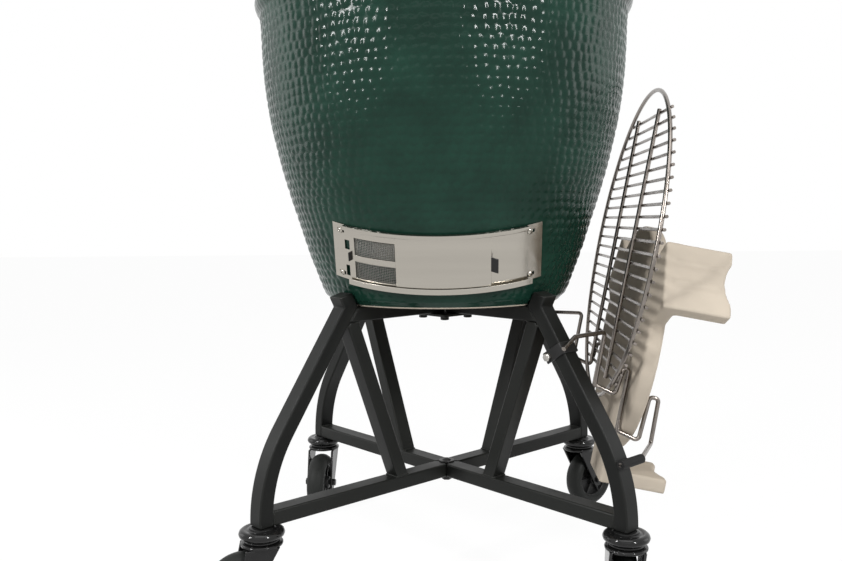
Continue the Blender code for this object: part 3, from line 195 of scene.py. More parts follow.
def wire(name, points, radius, resolution=4, cyclic=False):
    curve = bpy.data.curves.new(name, "CURVE")
    curve.dimensions = "3D"
    curve.bevel_depth, curve.bevel_resolution, curve.use_fill_caps = radius, resolution, True
    spline = curve.splines.new("POLY")
    spline.points.add(len(points) - 1)
    for point, position in zip(spline.points, points):
        point.co = (*position, 1.0)
    spline.use_cyclic_u = cyclic
    return bpy.data.objects.new(name, curve)


def arc(centre, radius, start, end, steps):
    return [(centre[0] + radius * math.cos(math.radians(start + (end - start) * i / steps)),
             centre[1] + radius * math.sin(math.radians(start + (end - start) * i / steps)))
            for i in range(steps + 1)]


def rounded(points, radius, steps=8):
    """The path with each inner corner replaced by an arc."""
    path = [Vector(points[0])]
    for before, corner, after in zip(points, points[1:], points[2:]):
        corner = Vector(corner)
        towards, away = Vector(before) - corner, Vector(after) - corner
        angle = towards.angle(away)
        if math.pi - angle < math.radians(3):
            path.append(corner)
            continue
        reach = min(radius / math.tan(angle / 2), 0.49 * towards.length, 0.49 * away.length)
        bend = reach * math.tan(angle / 2)
        middle = corner + (towards.normalized() + away.normalized()).normalized() * bend / math.sin(angle / 2)
        first = (corner + towards.normalized() * reach - middle).normalized()
        last = (corner + away.normalized() * reach - middle).normalized()
        path.extend(middle + bend * first.slerp(last, i / steps) for i in range(steps + 1))
    path.append(Vector(points[-1]))
    return path


def smooth_profile(points, step):
    """Points at even steps along a soft curve through the given ones (Catmull-Rom)."""
    ends = [points[0], *points, points[-1]]
    fine = []
    for a, b, c, d in zip(ends, ends[1:], ends[2:], ends[3:]):
        for i in range(24):
            t = i / 24
            fine.append(tuple(0.5 * (2 * b[k] + (c[k] - a[k]) * t + (2 * a[k] - 5 * b[k] + 4 * c[k] - d[k]) * t * t
                                     + (3 * b[k] - a[k] - 3 * c[k] + d[k]) * t ** 3) for k in (0, 1)))
    fine.append(points[-1])
    even, walked, due = [fine[0]], 0.0, step
    for a, b in zip(fine, fine[1:]):
        length = math.dist(a, b)
        while walked + length >= due:
            t = (due - walked) / length
            even.append((a[0] + (b[0] - a[0]) * t, a[1] + (b[1] - a[1]) * t))
            due += step
        walked += length
    if math.dist(even[-1], points[-1]) > step * 0.3:
        even.append(points[-1])
    return even


# ---- Materials ----------------------------------------------------------------------------------------------
MATERIALS = {}


def material(name, slot, colour, roughness, metallic=0.0, vary=0.12, patch=9.0, rough_vary=0.06, grain=900.0,
             bump=0.05, depth=0.0002, stretch=(1.0, 1.0, 1.0), sockets=None):
    """A Principled surface whose colour and gloss drift in patches, with a fine relief."""
    item = bpy.data.materials.new(name)
    item.use_nodes = True
    nodes, links = item.node_tree.nodes, item.node_tree.links
    shader = nodes["Principled BSDF"]
    shader.inputs["Metallic"].default_value = metallic
    shader.inputs["Specular IOR Level"].default_value = 0.5 if metallic else 0.16
    for key, value in (sockets or {}).items():
        shader.inputs[key].default_value = value
    place = nodes.new("ShaderNodeTexCoord")
    scale = nodes.new("ShaderNodeMapping")
    scale.inputs["Scale"].default_value = stretch
    links.new(place.outputs["Object"], scale.inputs["Vector"])
    drift = nodes.new("ShaderNodeTexNoise")
    drift.inputs["Scale"].default_value = patch
    drift.inputs["Detail"].default_value = 5.0
    links.new(scale.outputs["Vector"], drift.inputs["Vector"])
    ramp = nodes.new("ShaderNodeValToRGB")
    ramp.color_ramp.elements[0].position, ramp.color_ramp.elements[1].position = 0.3, 0.7
    ramp.color_ramp.elements[0].color = (*[c * (1 - vary) for c in colour], 1)
    ramp.color_ramp.elements[1].color = (*[min(1.0, c * (1 + vary)) for c in colour], 1)
    links.new(drift.outputs["Fac"], ramp.inputs["Fac"])
    links.new(ramp.outputs["Color"], shader.inputs["Base Color"])
    gloss = nodes.new("ShaderNodeMapRange")
    gloss.inputs["From Min"].default_value, gloss.inputs["From Max"].default_value = 0.3, 0.7
    gloss.inputs["To Min"].default_value = max(0.02, roughness - rough_vary)
    gloss.inputs["To Max"].default_value = roughness + rough_vary
    links.new(drift.outputs["Fac"], gloss.inputs["Value"])
    links.new(gloss.outputs["Result"], shader.inputs["Roughness"])
    fine = nodes.new("ShaderNodeTexNoise")
    fine.inputs["Scale"].default_value = grain
    fine.inputs["Detail"].default_value = 3.0
    links.new(scale.outputs["Vector"], fine.inputs["Vector"])
    relief = nodes.new("ShaderNodeBump")
    relief.inputs["Strength"].default_value, relief.inputs["Distance"].default_value = bump, depth
    links.new(fine.outputs["Fac"], relief.inputs["Height"])
    links.new(relief.outputs["Normal"], shader.inputs["Normal"])
    MATERIALS[name] = (item, slot)
    return item


def edge_tint(name, colour, threshold=0.52, spread=0.06):
    """Lightens or darkens convex edges, as glaze thins and paint wears there."""
    item = MATERIALS[name][0]
    nodes, links = item.node_tree.nodes, item.node_tree.links
    shader = nodes["Principled BSDF"]
    source = shader.inputs["Base Color"].links[0].from_socket
    place = nodes.new("ShaderNodeNewGeometry")
    mask = nodes.new("ShaderNodeMapRange")
    mask.inputs["From Min"].default_value, mask.inputs["From Max"].default_value = threshold, threshold + spread
    links.new(place.outputs["Pointiness"], mask.inputs["Value"])
    mix = nodes.new("ShaderNodeMix")
    mix.data_type = "RGBA"
    mix.inputs["B"].default_value = (*colour, 1)
    links.new(mask.outputs["Result"], mix.inputs["Factor"])
    links.new(source, mix.inputs["A"])
    links.new(mix.outputs["Result"], shader.inputs["Base Color"])


def make_materials():
    for name, slot in (("glaze", "glazed"), ("glaze_dome", "glazed_dome")):
        material(name, slot, (0.0070, 0.0300, 0.0200), 0.17, vary=0.25, patch=14, rough_vary=0.05, grain=260,
                 bump=0.08, depth=0.0005, sockets={"IOR": 1.5})
    material("bisque", "raw_ceramic", (0.48, 0.42, 0.345), 0.85, vary=0.07, patch=16, rough_vary=0.05, grain=1400,
             bump=0.35, depth=0.0003)
    material("bisque_inside", "raw_ceramic", (0.50, 0.43, 0.35), 0.9, vary=0.16, patch=12, grain=1000, bump=0.4,
             depth=0.0004)
    material("powder", "powder_coat", (0.0055, 0.0060, 0.0054), 0.42, vary=0.10, patch=20, rough_vary=0.05,
             grain=1100, bump=0.22, depth=0.0003)
    material("caster_gloss", "caster_metal", (0.008, 0.008, 0.008), 0.16, vary=0.2, patch=60, grain=500,
             bump=0.04, sockets={"Coat Weight": 0.3, "Coat Roughness": 0.08})
    material("tread", "caster_tyre", (0.016, 0.017, 0.016), 0.52, vary=0.2, patch=50, rough_vary=0.1, grain=1600,
             bump=0.25, depth=0.0003)
    material("hub", "caster_tyre", (0.018, 0.018, 0.018), 0.30, vary=0.2, patch=50, bump=0.06)
    material("bright_sheet", "stainless", (0.41, 0.385, 0.34), 0.20, 1.0, vary=0.05, patch=10, rough_vary=0.05,
             grain=420, bump=0.06, stretch=(0.25, 0.25, 6.0))
    material("woven", "screen_mesh", (0.17, 0.17, 0.155), 0.50, 0.7, vary=0.15, patch=60, grain=2500, bump=0.2)
    material("drawn_wire", "rack_steel", (0.24, 0.215, 0.195), 0.27, 1.0, vary=0.22, patch=35, rough_vary=0.08,
             grain=900, bump=0.10)
    # Black zinc for bolts, axles and clamps; the same dark colour also serves as a painted dark reflection on the
    # door's finger tab.
    material("black_zinc_and_painted_dark_reflection", "black_steel", (0.012, 0.012, 0.012), 0.36, 0.4, vary=0.2, patch=60,
             bump=0.10)
    material("cap_nut", "rack_steel", (0.55, 0.53, 0.50), 0.30, 1.0, vary=0.1, patch=80)
    material("sleeve", "black_steel", (0.010, 0.010, 0.010), 0.62, vary=0.2, patch=80, grain=1800, bump=0.3)
    material("iron", "cast_iron", (0.022, 0.022, 0.022), 0.58, 0.3, vary=0.25, patch=30, rough_vary=0.1,
             grain=600, bump=0.45, depth=0.0005)
    material("felt", "felt", (0.085, 0.083, 0.078), 0.97, vary=0.25, patch=80, grain=2400, bump=0.8, depth=0.0006,
             sockets={"Sheen Weight": 0.4})
    material("zinc", "galvanised", (0.50, 0.50, 0.50), 0.34, 1.0, patch=60, rough_vary=0.1, grain=700,
             bump=0.08)
    material("oiled_wood", "wood", (0.30, 0.145, 0.060), 0.46, vary=0.42, patch=26, rough_vary=0.08, grain=500,
             bump=0.25, depth=0.0003, stretch=(0.10, 1.0, 1.0))
    material("dial_black", "dial", (0.010, 0.010, 0.010), 0.30, vary=0.2, patch=60)
    material("dial_white", "dial", (0.62, 0.62, 0.60), 0.45, vary=0.05, patch=60, bump=0.03)
    material("needle_red", "needle", (0.50, 0.020, 0.012), 0.38, vary=0.08, patch=90, bump=0.03)
    edge_tint("glaze", (0.013, 0.055, 0.038))
    edge_tint("glaze_dome", (0.013, 0.055, 0.038))
    edge_tint("powder", (0.020, 0.021, 0.019))


# ---- Stand --------------------------------------------------------------------------------------------------
def side_frame(angle):
    """Local X runs out from the bowl's axis, local Y up from the rails' underside."""
    stand_up = Matrix(((1, 0, 0, 0), (0, 0, -1, 0), (0, 1, 0, RAIL_Z), (0, 0, 0, 1)))
    return HOME @ Matrix.Rotation(math.radians(angle), 4, "Z") @ stand_up


def leg_line(offset, steps):
    centre, lean = (FOOT_RADIUS - LEG_BEND, LEG_FOOT), 90.0 - math.degrees(LEG_SLOPE)
    points = [(FOOT_RADIUS + offset, 0.0)] + arc(centre, LEG_BEND + offset, 0.0, lean, steps)
    x, y = points[-1]
    top = STAND_HEIGHT + 0.001
    return points + [(x - (top - y) / math.tan(LEG_SLOPE), top)]


def leg_x(height, offset):
    points = leg_line(offset, 24)
    for (x0, y0), (x1, y1) in zip(points, points[1:]):
        if y0 <= height <= y1 and y1 > y0:
            return x0 + (height - y0) * (x1 - x0) / (y1 - y0)
    return points[-1][0]


def weld_bead(name, points, matrix):
    """A welded seam along a closed line, slightly uneven."""
    rng = random.Random(name)
    path = []
    for a, b in zip(points, points[1:] + points[:1]):
        a, b = Vector(a), Vector(b)
        count = max(2, round((b - a).length / 0.0022))
        path += [a.lerp(b, i / count) + Vector([rng.uniform(-0.00025, 0.00025) for axis in range(3)])
                 for i in range(count)]
    bead = wire(name, [matrix @ p for p in path], 0.0015, 2, cyclic=True)
    return put(bead, "powder", "stand")


def stand():
    half, low_top, arm_low = TUBE_WIDTH / 2, TUBE_DEPTH, STAND_HEIGHT - TUBE_DEPTH
    inner = -TUBE_DEPTH / 2
    gap = GAP / math.sin(LEG_SLOPE)
    run = (0.1855 - 0.0995) / (arm_low - low_top)
    wide = TUBE_DEPTH / 2 * math.hypot(1.0, run)
    low, high = low_top + GAP, arm_low - GAP

    def strut_x(side, y):
        return 0.0995 + side * wide + run * (y - low_top)

    meet = high
    while strut_x(1, meet) > leg_x(meet, inner) - gap:
        meet -= 0.0001
    strut = [(strut_x(-1, low), low), (strut_x(1, low), low), (strut_x(1, meet), meet),
             (leg_x(high, inner) - gap, high), (strut_x(-1, high), high)]
    outer_line, inner_line = leg_line(TUBE_DEPTH / 2, 28), leg_line(inner, 28)
    lean = Vector((math.sin(math.radians(27.0)), math.cos(math.radians(27.0))))
    head = [tuple(Vector(outer_line[-1]) + lean * 0.0154), tuple(Vector(inner_line[-1]) + lean * 0.022)]
    leg = outer_line + head + inner_line[::-1]
    arm_end_low, arm_end_high = leg_x(arm_low, inner) - gap, leg_x(STAND_HEIGHT, inner) - gap
    rail_end = leg_x(low_top, inner) - GAP
    tip = 0.0062
    for corner, angle in LEG_ANGLES.items():
        here = side_frame(angle)
        put(bevelled(plate("leg_tube_" + corner, leg, TUBE_WIDTH, here), 0.0022, 3), "powder", "stand",
            "leg_" + corner)
        put(bevelled(plate("strut_tube_" + corner, strut, TUBE_WIDTH, here), 0.0022, 3), "powder", "stand",
            "strut_" + corner)
        flat = HOME @ Matrix.Rotation(math.radians(angle), 4, "Z")
        for name, cad, end, level in (("rail_tube_", "base_rail_", rail_end, RAIL_Z + low_top / 2),
                                      ("arm_tube_", "top_arm_", arm_end_high, RAIL_Z + arm_low + low_top / 2)):
            plan = [(tip, 0.0007 - tip), (half + 0.0007, -half), (end, -half), (end, half), (half + 0.0007, half),
                    (tip, tip - 0.0007)]
            piece = plate(name + corner, plan, TUBE_DEPTH, flat @ Matrix.Translation((0, 0, level)))
            if cad == "top_arm_":
                slant = (arm_end_low - arm_end_high) / TUBE_DEPTH
                turn = flat.inverted()
                for v in piece.data.vertices:
                    local = turn @ v.co
                    if local.x > end - 0.002:
                        local.x += (level + TUBE_DEPTH / 2 - local.z) * slant
                        v.co = flat @ local
            put(bevelled(piece, 0.0022, 3), "powder", "stand", cad + corner)
        z = half - 0.0016
        for name, ring in (("weld_foot_", [(rail_end, 0.0014), (rail_end, low_top - 0.0006)]),
                           ("weld_strut_low_", [(strut_x(-1, low), low), (strut_x(1, low), low)]),
                           ("weld_strut_high_", [(strut_x(-1, high), high), (strut_x(1, meet), meet)]),
                           ("weld_arm_", [(arm_end_low, arm_low + 0.001), (arm_end_high, STAND_HEIGHT - 0.001)])):
            (ax, ay), (bx, by) = ring
            weld_bead(name + corner, [(ax, ay, -z), (bx, by, -z), (bx, by, z), (ax, ay, z)], here)

    edit = bmesh.new()
    up, down = RAIL_Z + low_top + GAP, RAIL_Z - GAP
    lathe_into(edit, [(0, up + 0.0016), (0.0115, up + 0.0016), (0.0120, up + 0.0010), (0.0120, up), (0.004, up),
                      (0.004, down), (0.0120, down), (0.0120, down - 0.0020), (0, down - 0.0020)], 40)
    head = [(0, up + 0.0046), (0.0030, up + 0.0044), (0.0058, up + 0.0032), (0.0068, up + 0.0014), (0, up + 0.0012)]
    lathe_into(edit, head, 40)
    rod_into(edit, 0.0075, (0, 0, down - 0.0017), (0, 0, down - 0.008), 6)
    put(bevelled(from_bmesh("centre_bolt_and_washers", edit, HOME), 0.0006), "black_zinc_and_painted_dark_reflection", "stand", "centre_bolt")
    level = RAIL_Z + arm_low - GAP
    edit = bmesh.new()
    turn = Matrix.Rotation(math.radians(45), 4, "Z")
    box_into(edit, (-0.037, -0.037, level - 0.004), (0.037, 0.037, level), turn)
    for angle in (0, 90, 180, 270):
        spot = Matrix.Rotation(math.radians(angle), 4, "Z") @ Vector((0.034, 0, level))
        rod_into(edit, 0.0065, spot - Vector((0, 0, 0.0038)), spot - Vector((0, 0, 0.0095)), 6)
    put(bevelled(from_bmesh("plate_and_bolts", edit, HOME), 0.0008), "powder", "stand", "centre_plate")


# ---- Casters ------------------------------------------------------------------------------------------------
def casters():
    for corner, angle in LEG_ANGLES.items():
        out = Matrix.Rotation(math.radians(angle), 4, "Z") @ Vector((FOOT_RADIUS, 0, 0))
        foot = HOME @ Matrix.Translation((out.x, out.y, RAIL_Z))
        race = [(0, -GAP), (0.0150, -GAP), (0.0163, -0.0010), (0.0165, -0.0024), (0.0182, -0.0034), (0.0205, -0.0034),
                (0.0232, -0.0026), (0.0262, -0.0030), (0.0287, -0.0050), (0.0299, -0.0083), (0.0290, -0.0113),
                (0.0268, -0.0132), (0.0240, -0.0141), (0.0228, -0.0148), (0.0236, -0.0160), (0.0234, -0.0175),
                (0.0220, -0.0184), (0, -0.0184)]
        put(lathe("caster_bearing_" + corner, race, 64, matrix=foot), "caster_gloss", "stand",
            "caster_race_" + corner)
        here = foot @ Matrix.Rotation(math.radians(CASTER_HEADINGS[corner]), 4, "Z")
        swivel = "swivel_" + corner
        inner, thick = WHEEL_W / 2 + 0.003, 0.0040
        drop = WHEEL_R - RAIL_Z
        crown_top, crown_low = -0.0191, -0.0241
        edit = bmesh.new()
        lathe_into(edit, [(0, crown_top), (0.0250, crown_top), (0.0270, crown_top - 0.0008),
                          (0.0275, crown_top - 0.0025), (0.0268, crown_low), (0, crown_low)], 40)
        slope = math.degrees(math.atan2(TRAIL - 0.002, -drop + crown_low))
        side = [(-0.0190, crown_low + 0.001), *arc((TRAIL, drop), 0.011, -180 + slope * 0.3, slope * 0.75, 16),
                (0.0245, crown_low + 0.001)]
        for sign in (-1, 1):
            prism(edit, side, thick, Matrix(((1, 0, 0, 0), (0, 0, 1, sign * (inner + thick / 2)), (0, 1, 0, 0),
                                             (0, 0, 0, 1))))
        put(bevelled(from_bmesh("caster_yoke_" + corner, edit, here), 0.0009, 2), "caster_gloss", swivel,
            "caster_fork_" + corner)
        edit = bmesh.new()
        rod_into(edit, 0.0040, (TRAIL, -inner - thick, drop), (TRAIL, inner + thick, drop), 20)
        for sign in (-1, 1):
            rod_into(edit, 0.0062, (TRAIL, sign * (inner + thick - 0.0004), drop),
                     (TRAIL, sign * (inner + thick + 0.0042), drop), 6)
        put(bevelled(from_bmesh("caster_axle_" + corner, edit, here), 0.0005), "black_zinc_and_painted_dark_reflection", swivel)

        axle = here @ Matrix.Translation((TRAIL, 0, drop)) @ Matrix.Rotation(math.pi / 2, 4, "X")
        w = WHEEL_W / 2
        half = [(0.0330, w - 0.0030), (0.0345, w - 0.0010), (0.0385, w - 0.0004), (0.0430, w - 0.0016),
                (0.0466, w - 0.0050), (0.0488, w - 0.0092), (0.0498, 0.0030), (0.0500, 0.0)]
        section = half + [(r, -z) for r, z in half[-2::-1]]
        wheel = "wheel_" + corner
        put(lathe("caster_tread_" + corner, [(0.0310, w - 0.0050), *section, (0.0310, -w + 0.0050)], 72,
                  closed=True, matrix=axle), "tread", wheel, "caster_wheel_" + corner)
        edit = bmesh.new()
        hub = [(0.0046, w), (0.0095, w), (0.0105, w - 0.0012), (0.0112, 0.0055), (0.0290, 0.0045),
               (0.0300, w - 0.0050),
               (0.0322, w - 0.0044), (0.0322, 0.0)]
        lathe_into(edit, [*hub, *[(r, -z) for r, z in hub[-2::-1]]], 48, closed=True)
        for i in range(6):
            spoke = Matrix.Rotation(math.radians(60 * i), 4, "Z")
            box_into(edit, (0.0100, -0.0016, -w + 0.0055), (0.0300, 0.0016, w - 0.0055), spoke)
        put(bevelled(from_bmesh("caster_hub_" + corner, edit, axle), 0.0005), "hub", wheel)


# ---- Ceramics -----------------------------------------------------------------------------------------------
def cell_centres(profile, pitch, rng):
    """Pebble centres on a body of revolution: rows of them, each as full as its girth allows."""
    centres, walked = [], 0.0
    row = 0.0
    for a, b in zip(profile, profile[1:]):
        walked += math.dist(a, b)
        if walked < row:
            continue
        row += pitch * 0.87
        count = max(1, round(2 * math.pi * b[0] / pitch))
        shift = rng.random()
        for i in range(count):
            turn = 2 * math.pi * (i + shift + rng.uniform(-0.16, 0.16)) / count
            rise = rng.uniform(-0.16, 0.16) * pitch
            centres.append(Vector((b[0] * math.cos(turn), b[0] * math.sin(turn), b[1] + rise)))
    tree = kdtree.KDTree(len(centres))
    for i, centre in enumerate(centres):
        tree.insert(centre, i)
    tree.balance()
    return tree


def pebbled(name, outer, inner, columns, calm, seed, pitch=0.0138, height=0.00125):
    """A closed thick-walled body of revolution with pebbles standing on its outer side. calm(r, z, phi) is
    0 where the glaze is smooth and 1 where the pebbles stand full."""
    tree = cell_centres(outer, pitch, random.Random(seed))
    profile = outer + inner
    verts, faces = [], []
    for i, (r, z) in enumerate(profile):
        a, b = profile[max(0, i - 1)], profile[min(len(profile) - 1, i + 1)]
        along = Vector((b[0] - a[0], b[1] - a[1])).normalized()
        out = Vector((along.y, -along.x))
        if i < len(outer) and out.x < 0:
            out = -out
        for j in range(columns):
            turn = 2 * math.pi * j / columns
            cos, sin = math.cos(turn), math.sin(turn)
            lift = 0.0
            if 0 < i < len(outer) - 1:
                phi = (math.degrees(turn) + 90.0 + 180.0) % 360.0 - 180.0
                share = calm(r, z, phi)
                if share > 0.01:
                    near = tree.find_n((r * cos, r * sin, z), 2)
                    edge = min(1.0, (near[1][2] - near[0][2]) / (0.30 * pitch))
                    crown = 1.0 - min(1.0, near[0][2] / (0.50 * pitch)) ** 2
                    lift = share * height * (crown * (0.35 + 0.65 * edge) - 0.35)
            rr, zz = r + out.x * lift, z + out.y * lift
            verts.append((rr * cos, rr * sin, zz))
    rows = len(profile)
    for i in range(rows):
        k = (i + 1) % rows
        for j in range(columns):
            n = (j + 1) % columns
            faces.append((i * columns + j, i * columns + n, k * columns + n, k * columns + j))
    return verts, faces


def ceramic(name, verts, faces, level, material_name, body, cad, bare, skip=None, floor=None):
    mesh = bpy.data.meshes.new(name)
    mesh.from_pydata(verts, [], faces)
    edit = bmesh.new()
    edit.from_mesh(mesh)
    if skip:
        doomed = [f for f in edit.faces if skip(f.calc_center_median())]
        bmesh.ops.delete(edit, geom=doomed, context="FACES")
        loose = [e for e in edit.edges if e.is_boundary]
        bmesh.ops.bridge_loops(edit, edges=loose)
    if floor:
        bmesh.ops.remove_doubles(edit, verts=[v for v in edit.verts if math.hypot(v.co.x, v.co.y) < 1e-5], dist=1e-4)
    bmesh.ops.dissolve_degenerate(edit, dist=1e-7, edges=edit.edges)
    obj = from_bmesh(name, edit, HOME @ Matrix.Translation((0, 0, level)))
    bpy.data.meshes.remove(mesh)
    put(obj, material_name, body, cad, smooth=None)
    obj.data.materials.append(MATERIALS["bisque_inside"][0])
    for face in obj.data.polygons:
        x, y, z = face.center - AXIS
        around = math.hypot(x, y)
        inward = around < 0.001 or (x * face.normal.x + y * face.normal.y) / around < -0.25
        if inward or bare(around, z - level, face.normal.z):
            face.material_index = 1
    return obj


def bowl():
    shape = [(0.1700, 0.0010), (0.1765, 0.0068), (0.182, 0.014), (0.1925, 0.0425), (0.204, 0.074), (0.2155, 0.111),
             (0.227, 0.1475), (0.2398, 0.192), (0.2506, 0.238), (0.2562, 0.266), (0.2605, 0.295), (0.2637, 0.325),
             (0.2655, 0.355), (0.2664, 0.380), (0.2672, 0.402), (0.2692, 0.4125), (0.2733, 0.4195),
             (0.2752, 0.4262), (0.2742, 0.4335), (0.2706, 0.4395), (RIM, 0.4430), (RIM, 0.4500), (RIM, 0.460),
             (RIM - 0.0002, 0.4685), (RIM - 0.0014, 0.4700)]
    outer = smooth_profile(shape, 0.0017)
    inner = [(0.2410, 0.4700), (0.2400, 0.4690), (0.2400, 0.440), (0.2400, 0.400), (0.2400, 0.360), (0.2320, 0.304),
             (0.2220, 0.234), (0.2110, 0.192), (0.2000, 0.150), (0.1918, 0.122), (0.1850, 0.100), (0.1770, 0.076),
             (0.1690, 0.060), (0.1600, 0.043), (0.1500, 0.030), (0.1470, 0.028), (0.0001, 0.028), (0.0001, 0.0004),
             (0.1655, 0.0004)]

    def calm(r, z, phi):
        top = min(1.0, max(0.0, (0.4180 - z) / 0.012)) + (1.0 if z > 0.4180 else 0.0) * 0.35
        foot = min(1.0, max(0.0, (z - 0.006) / 0.020))
        local = VENT_TURN @ Vector((r * math.sin(math.radians(phi)), -r * math.cos(math.radians(phi)), z - 0.1366))
        turn = math.degrees(math.atan2(local.x, -local.y))
        aside = max(0.0, abs(turn + 2.0) - 40.0) * 0.0038
        beyond = max(0.0, abs(local.z) - VENT_HALF)
        near_vent = min(1.0, 0.12 + math.hypot(aside, beyond) / 0.016)
        return min(top, 1.0) * foot * near_vent

    verts, faces = pebbled("bowl", outer, inner, 900, calm, 7)

    def in_port(centre):
        local = (VENT.inverted() @ (HOME @ Matrix.Translation((0, 0, BOWL_Z)) @ centre))
        phi = math.degrees(math.atan2(local.x, -local.y))
        return PORT[0] < phi < PORT[1] and abs(local.z) < PORT[2] and math.hypot(local.x, local.y) > 0.12

    def bare(r, z, up):
        return z > 0.4696 or (up > 0.7 and r < 0.160) or (up < -0.95 and z < 0.0012)

    ceramic("glazed_bowl", verts, faces, BOWL_Z, "glaze", "stand", "bowl", bare, in_port, True)
    foot = [(0.1655, 0.0002), (0.1672, 0.0000), (0.1694, 0.0003), (0.1712, 0.0016), (0.1717, 0.0030),
            (0.1710, 0.0036), (0.1655, 0.0034)]
    put(lathe("unglazed_foot", foot, 160, closed=True, matrix=HOME @ Matrix.Translation((0, 0, BOWL_Z))), "bisque",
        "stand")


def dome():
    shape = [(RIM - 0.0014, 0.0), (RIM - 0.0002, 0.0015), (RIM, 0.0100), (RIM, 0.0200), (RIM, 0.0270),
             (0.2706, 0.0305), (0.2740, 0.0355), (0.2750, 0.0415), (0.2732, 0.0485), (0.2694, 0.0540),
             (0.2668, 0.0610), (0.2655, 0.0720), (0.2640, 0.0850), (0.2592, 0.1080), (0.2530, 0.1300),
             (0.2432, 0.1570), (0.2310, 0.1820), (0.2148, 0.2075), (0.1960, 0.2300), (0.1730, 0.2520),
             (0.1480, 0.2710), (0.1250, 0.2848), (0.1020, 0.2960), (0.0880, 0.3020), (0.0780, 0.3075),
             (0.0708, 0.3145), (0.0682, 0.3230), (0.0680, 0.3320), (0.0680, 0.3392), (0.0674, 0.3400)]
    outer = smooth_profile(shape, 0.0021)
    inner = [(0.0490, 0.3400), (0.0480, 0.3390), (0.0480, 0.3150), (0.0480, 0.2900), (0.0720, 0.2780),
             (0.1000, 0.2620), (0.1320, 0.2440), (0.1600, 0.2220), (0.1850, 0.1940), (0.2050, 0.1650),
             (0.2190, 0.1330), (0.2300, 0.1000), (0.2365, 0.0680), (0.2400, 0.0350), (0.2400, 0.0008), (0.2410, 0.0)]

    def calm(r, z, phi):
        if z < 0.056:
            return 0.35 if z > 0.028 else 0.0
        foot = min(1.0, (z - 0.056) / 0.010)
        neck = min(1.0, max(0.0, (0.300 - z) / 0.010))
        dial = math.hypot(math.radians(phi) * 0.256, (z - 0.118))
        return foot * neck * min(1.0, max(0.0, (dial - 0.036) / 0.012))

    verts, faces = pebbled("dome", outer, inner, 640, calm, 11)
    def bare(r, z, up):
        return z < 0.0006 or z > 0.3396

    ceramic("glazed_dome", verts, faces, DOME_Z, "glaze_dome", "lid", "dome", bare)


def soft_ring(inner, outer, low, high, soft):
    return [(inner + soft, high), (outer - soft, high), (outer - soft * 0.3, high - soft * 0.3), (outer, high - soft),
            (outer, low + soft), (outer - soft * 0.3, low + soft * 0.3), (outer - soft, low), (inner + soft, low),
            (inner, low + soft), (inner, high - soft)]


def inside():
    base = BOWL_TOP + GAP
    put(lathe("felt_lower", soft_ring(0.244, 0.267, base, base + 0.0025, 0.0007), 128, True, HOME), "felt",
        "stand", "bowl_gasket")
    put(lathe("felt_upper", soft_ring(0.244, 0.267, base + 0.0028, base + 0.0053, 0.0007), 128, True, HOME), "felt",
        "lid", "dome_gasket")
    fire_low, fire_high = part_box("firebox")
    z0, z1 = fire_low.z, fire_high.z
    ledge = BOWL_Z + 0.075
    profile = [(0.1790, z1), (0.1975, z1), (0.1985, z1 - 0.0010), (0.1860, BOWL_Z + 0.150), (0.1660, BOWL_Z + 0.085),
               (0.1480, z0), (0.1130, z0), (0.1120, z0 + 0.001), (0.1120, ledge), (0.1235, ledge),
               (0.1235, ledge + 0.008), (0.1780, z1 - 0.001)]
    put(lathe("fire_bowl", profile, 96, True, HOME), "bisque_inside", "stand", "firebox")
    low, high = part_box("fire_ring")
    profile = [(0.1940, high.z), (0.2170, high.z), (0.2180, high.z - 0.001), (0.2050, low.z), (0.1830, low.z),
               (0.1930, high.z - 0.001)]
    put(lathe("fire_collar", profile, 96, True, HOME), "bisque_inside", "stand", "fire_ring")
    recoat("fire_grate", "iron")


# ---- Lower vent ---------------------------------------------------------------------------------------------
def cut(obj, *cutters):
    for number, cutter in enumerate(cutters):
        bpy.context.scene.collection.objects.link(cutter)
        change = obj.modifiers.new(f"cut_{number}", "BOOLEAN")
        change.object, change.operation, change.solver = cutter, "DIFFERENCE", "EXACT"
    bpy.context.scene.collection.objects.link(obj)
    bpy.context.view_layer.update()
    graph = bpy.context.evaluated_depsgraph_get()
    mesh = bpy.data.meshes.new_from_object(obj.evaluated_get(graph))
    obj.modifiers.clear()
    obj.data = mesh
    for cutter in cutters:
        bpy.data.objects.remove(cutter)
    return obj


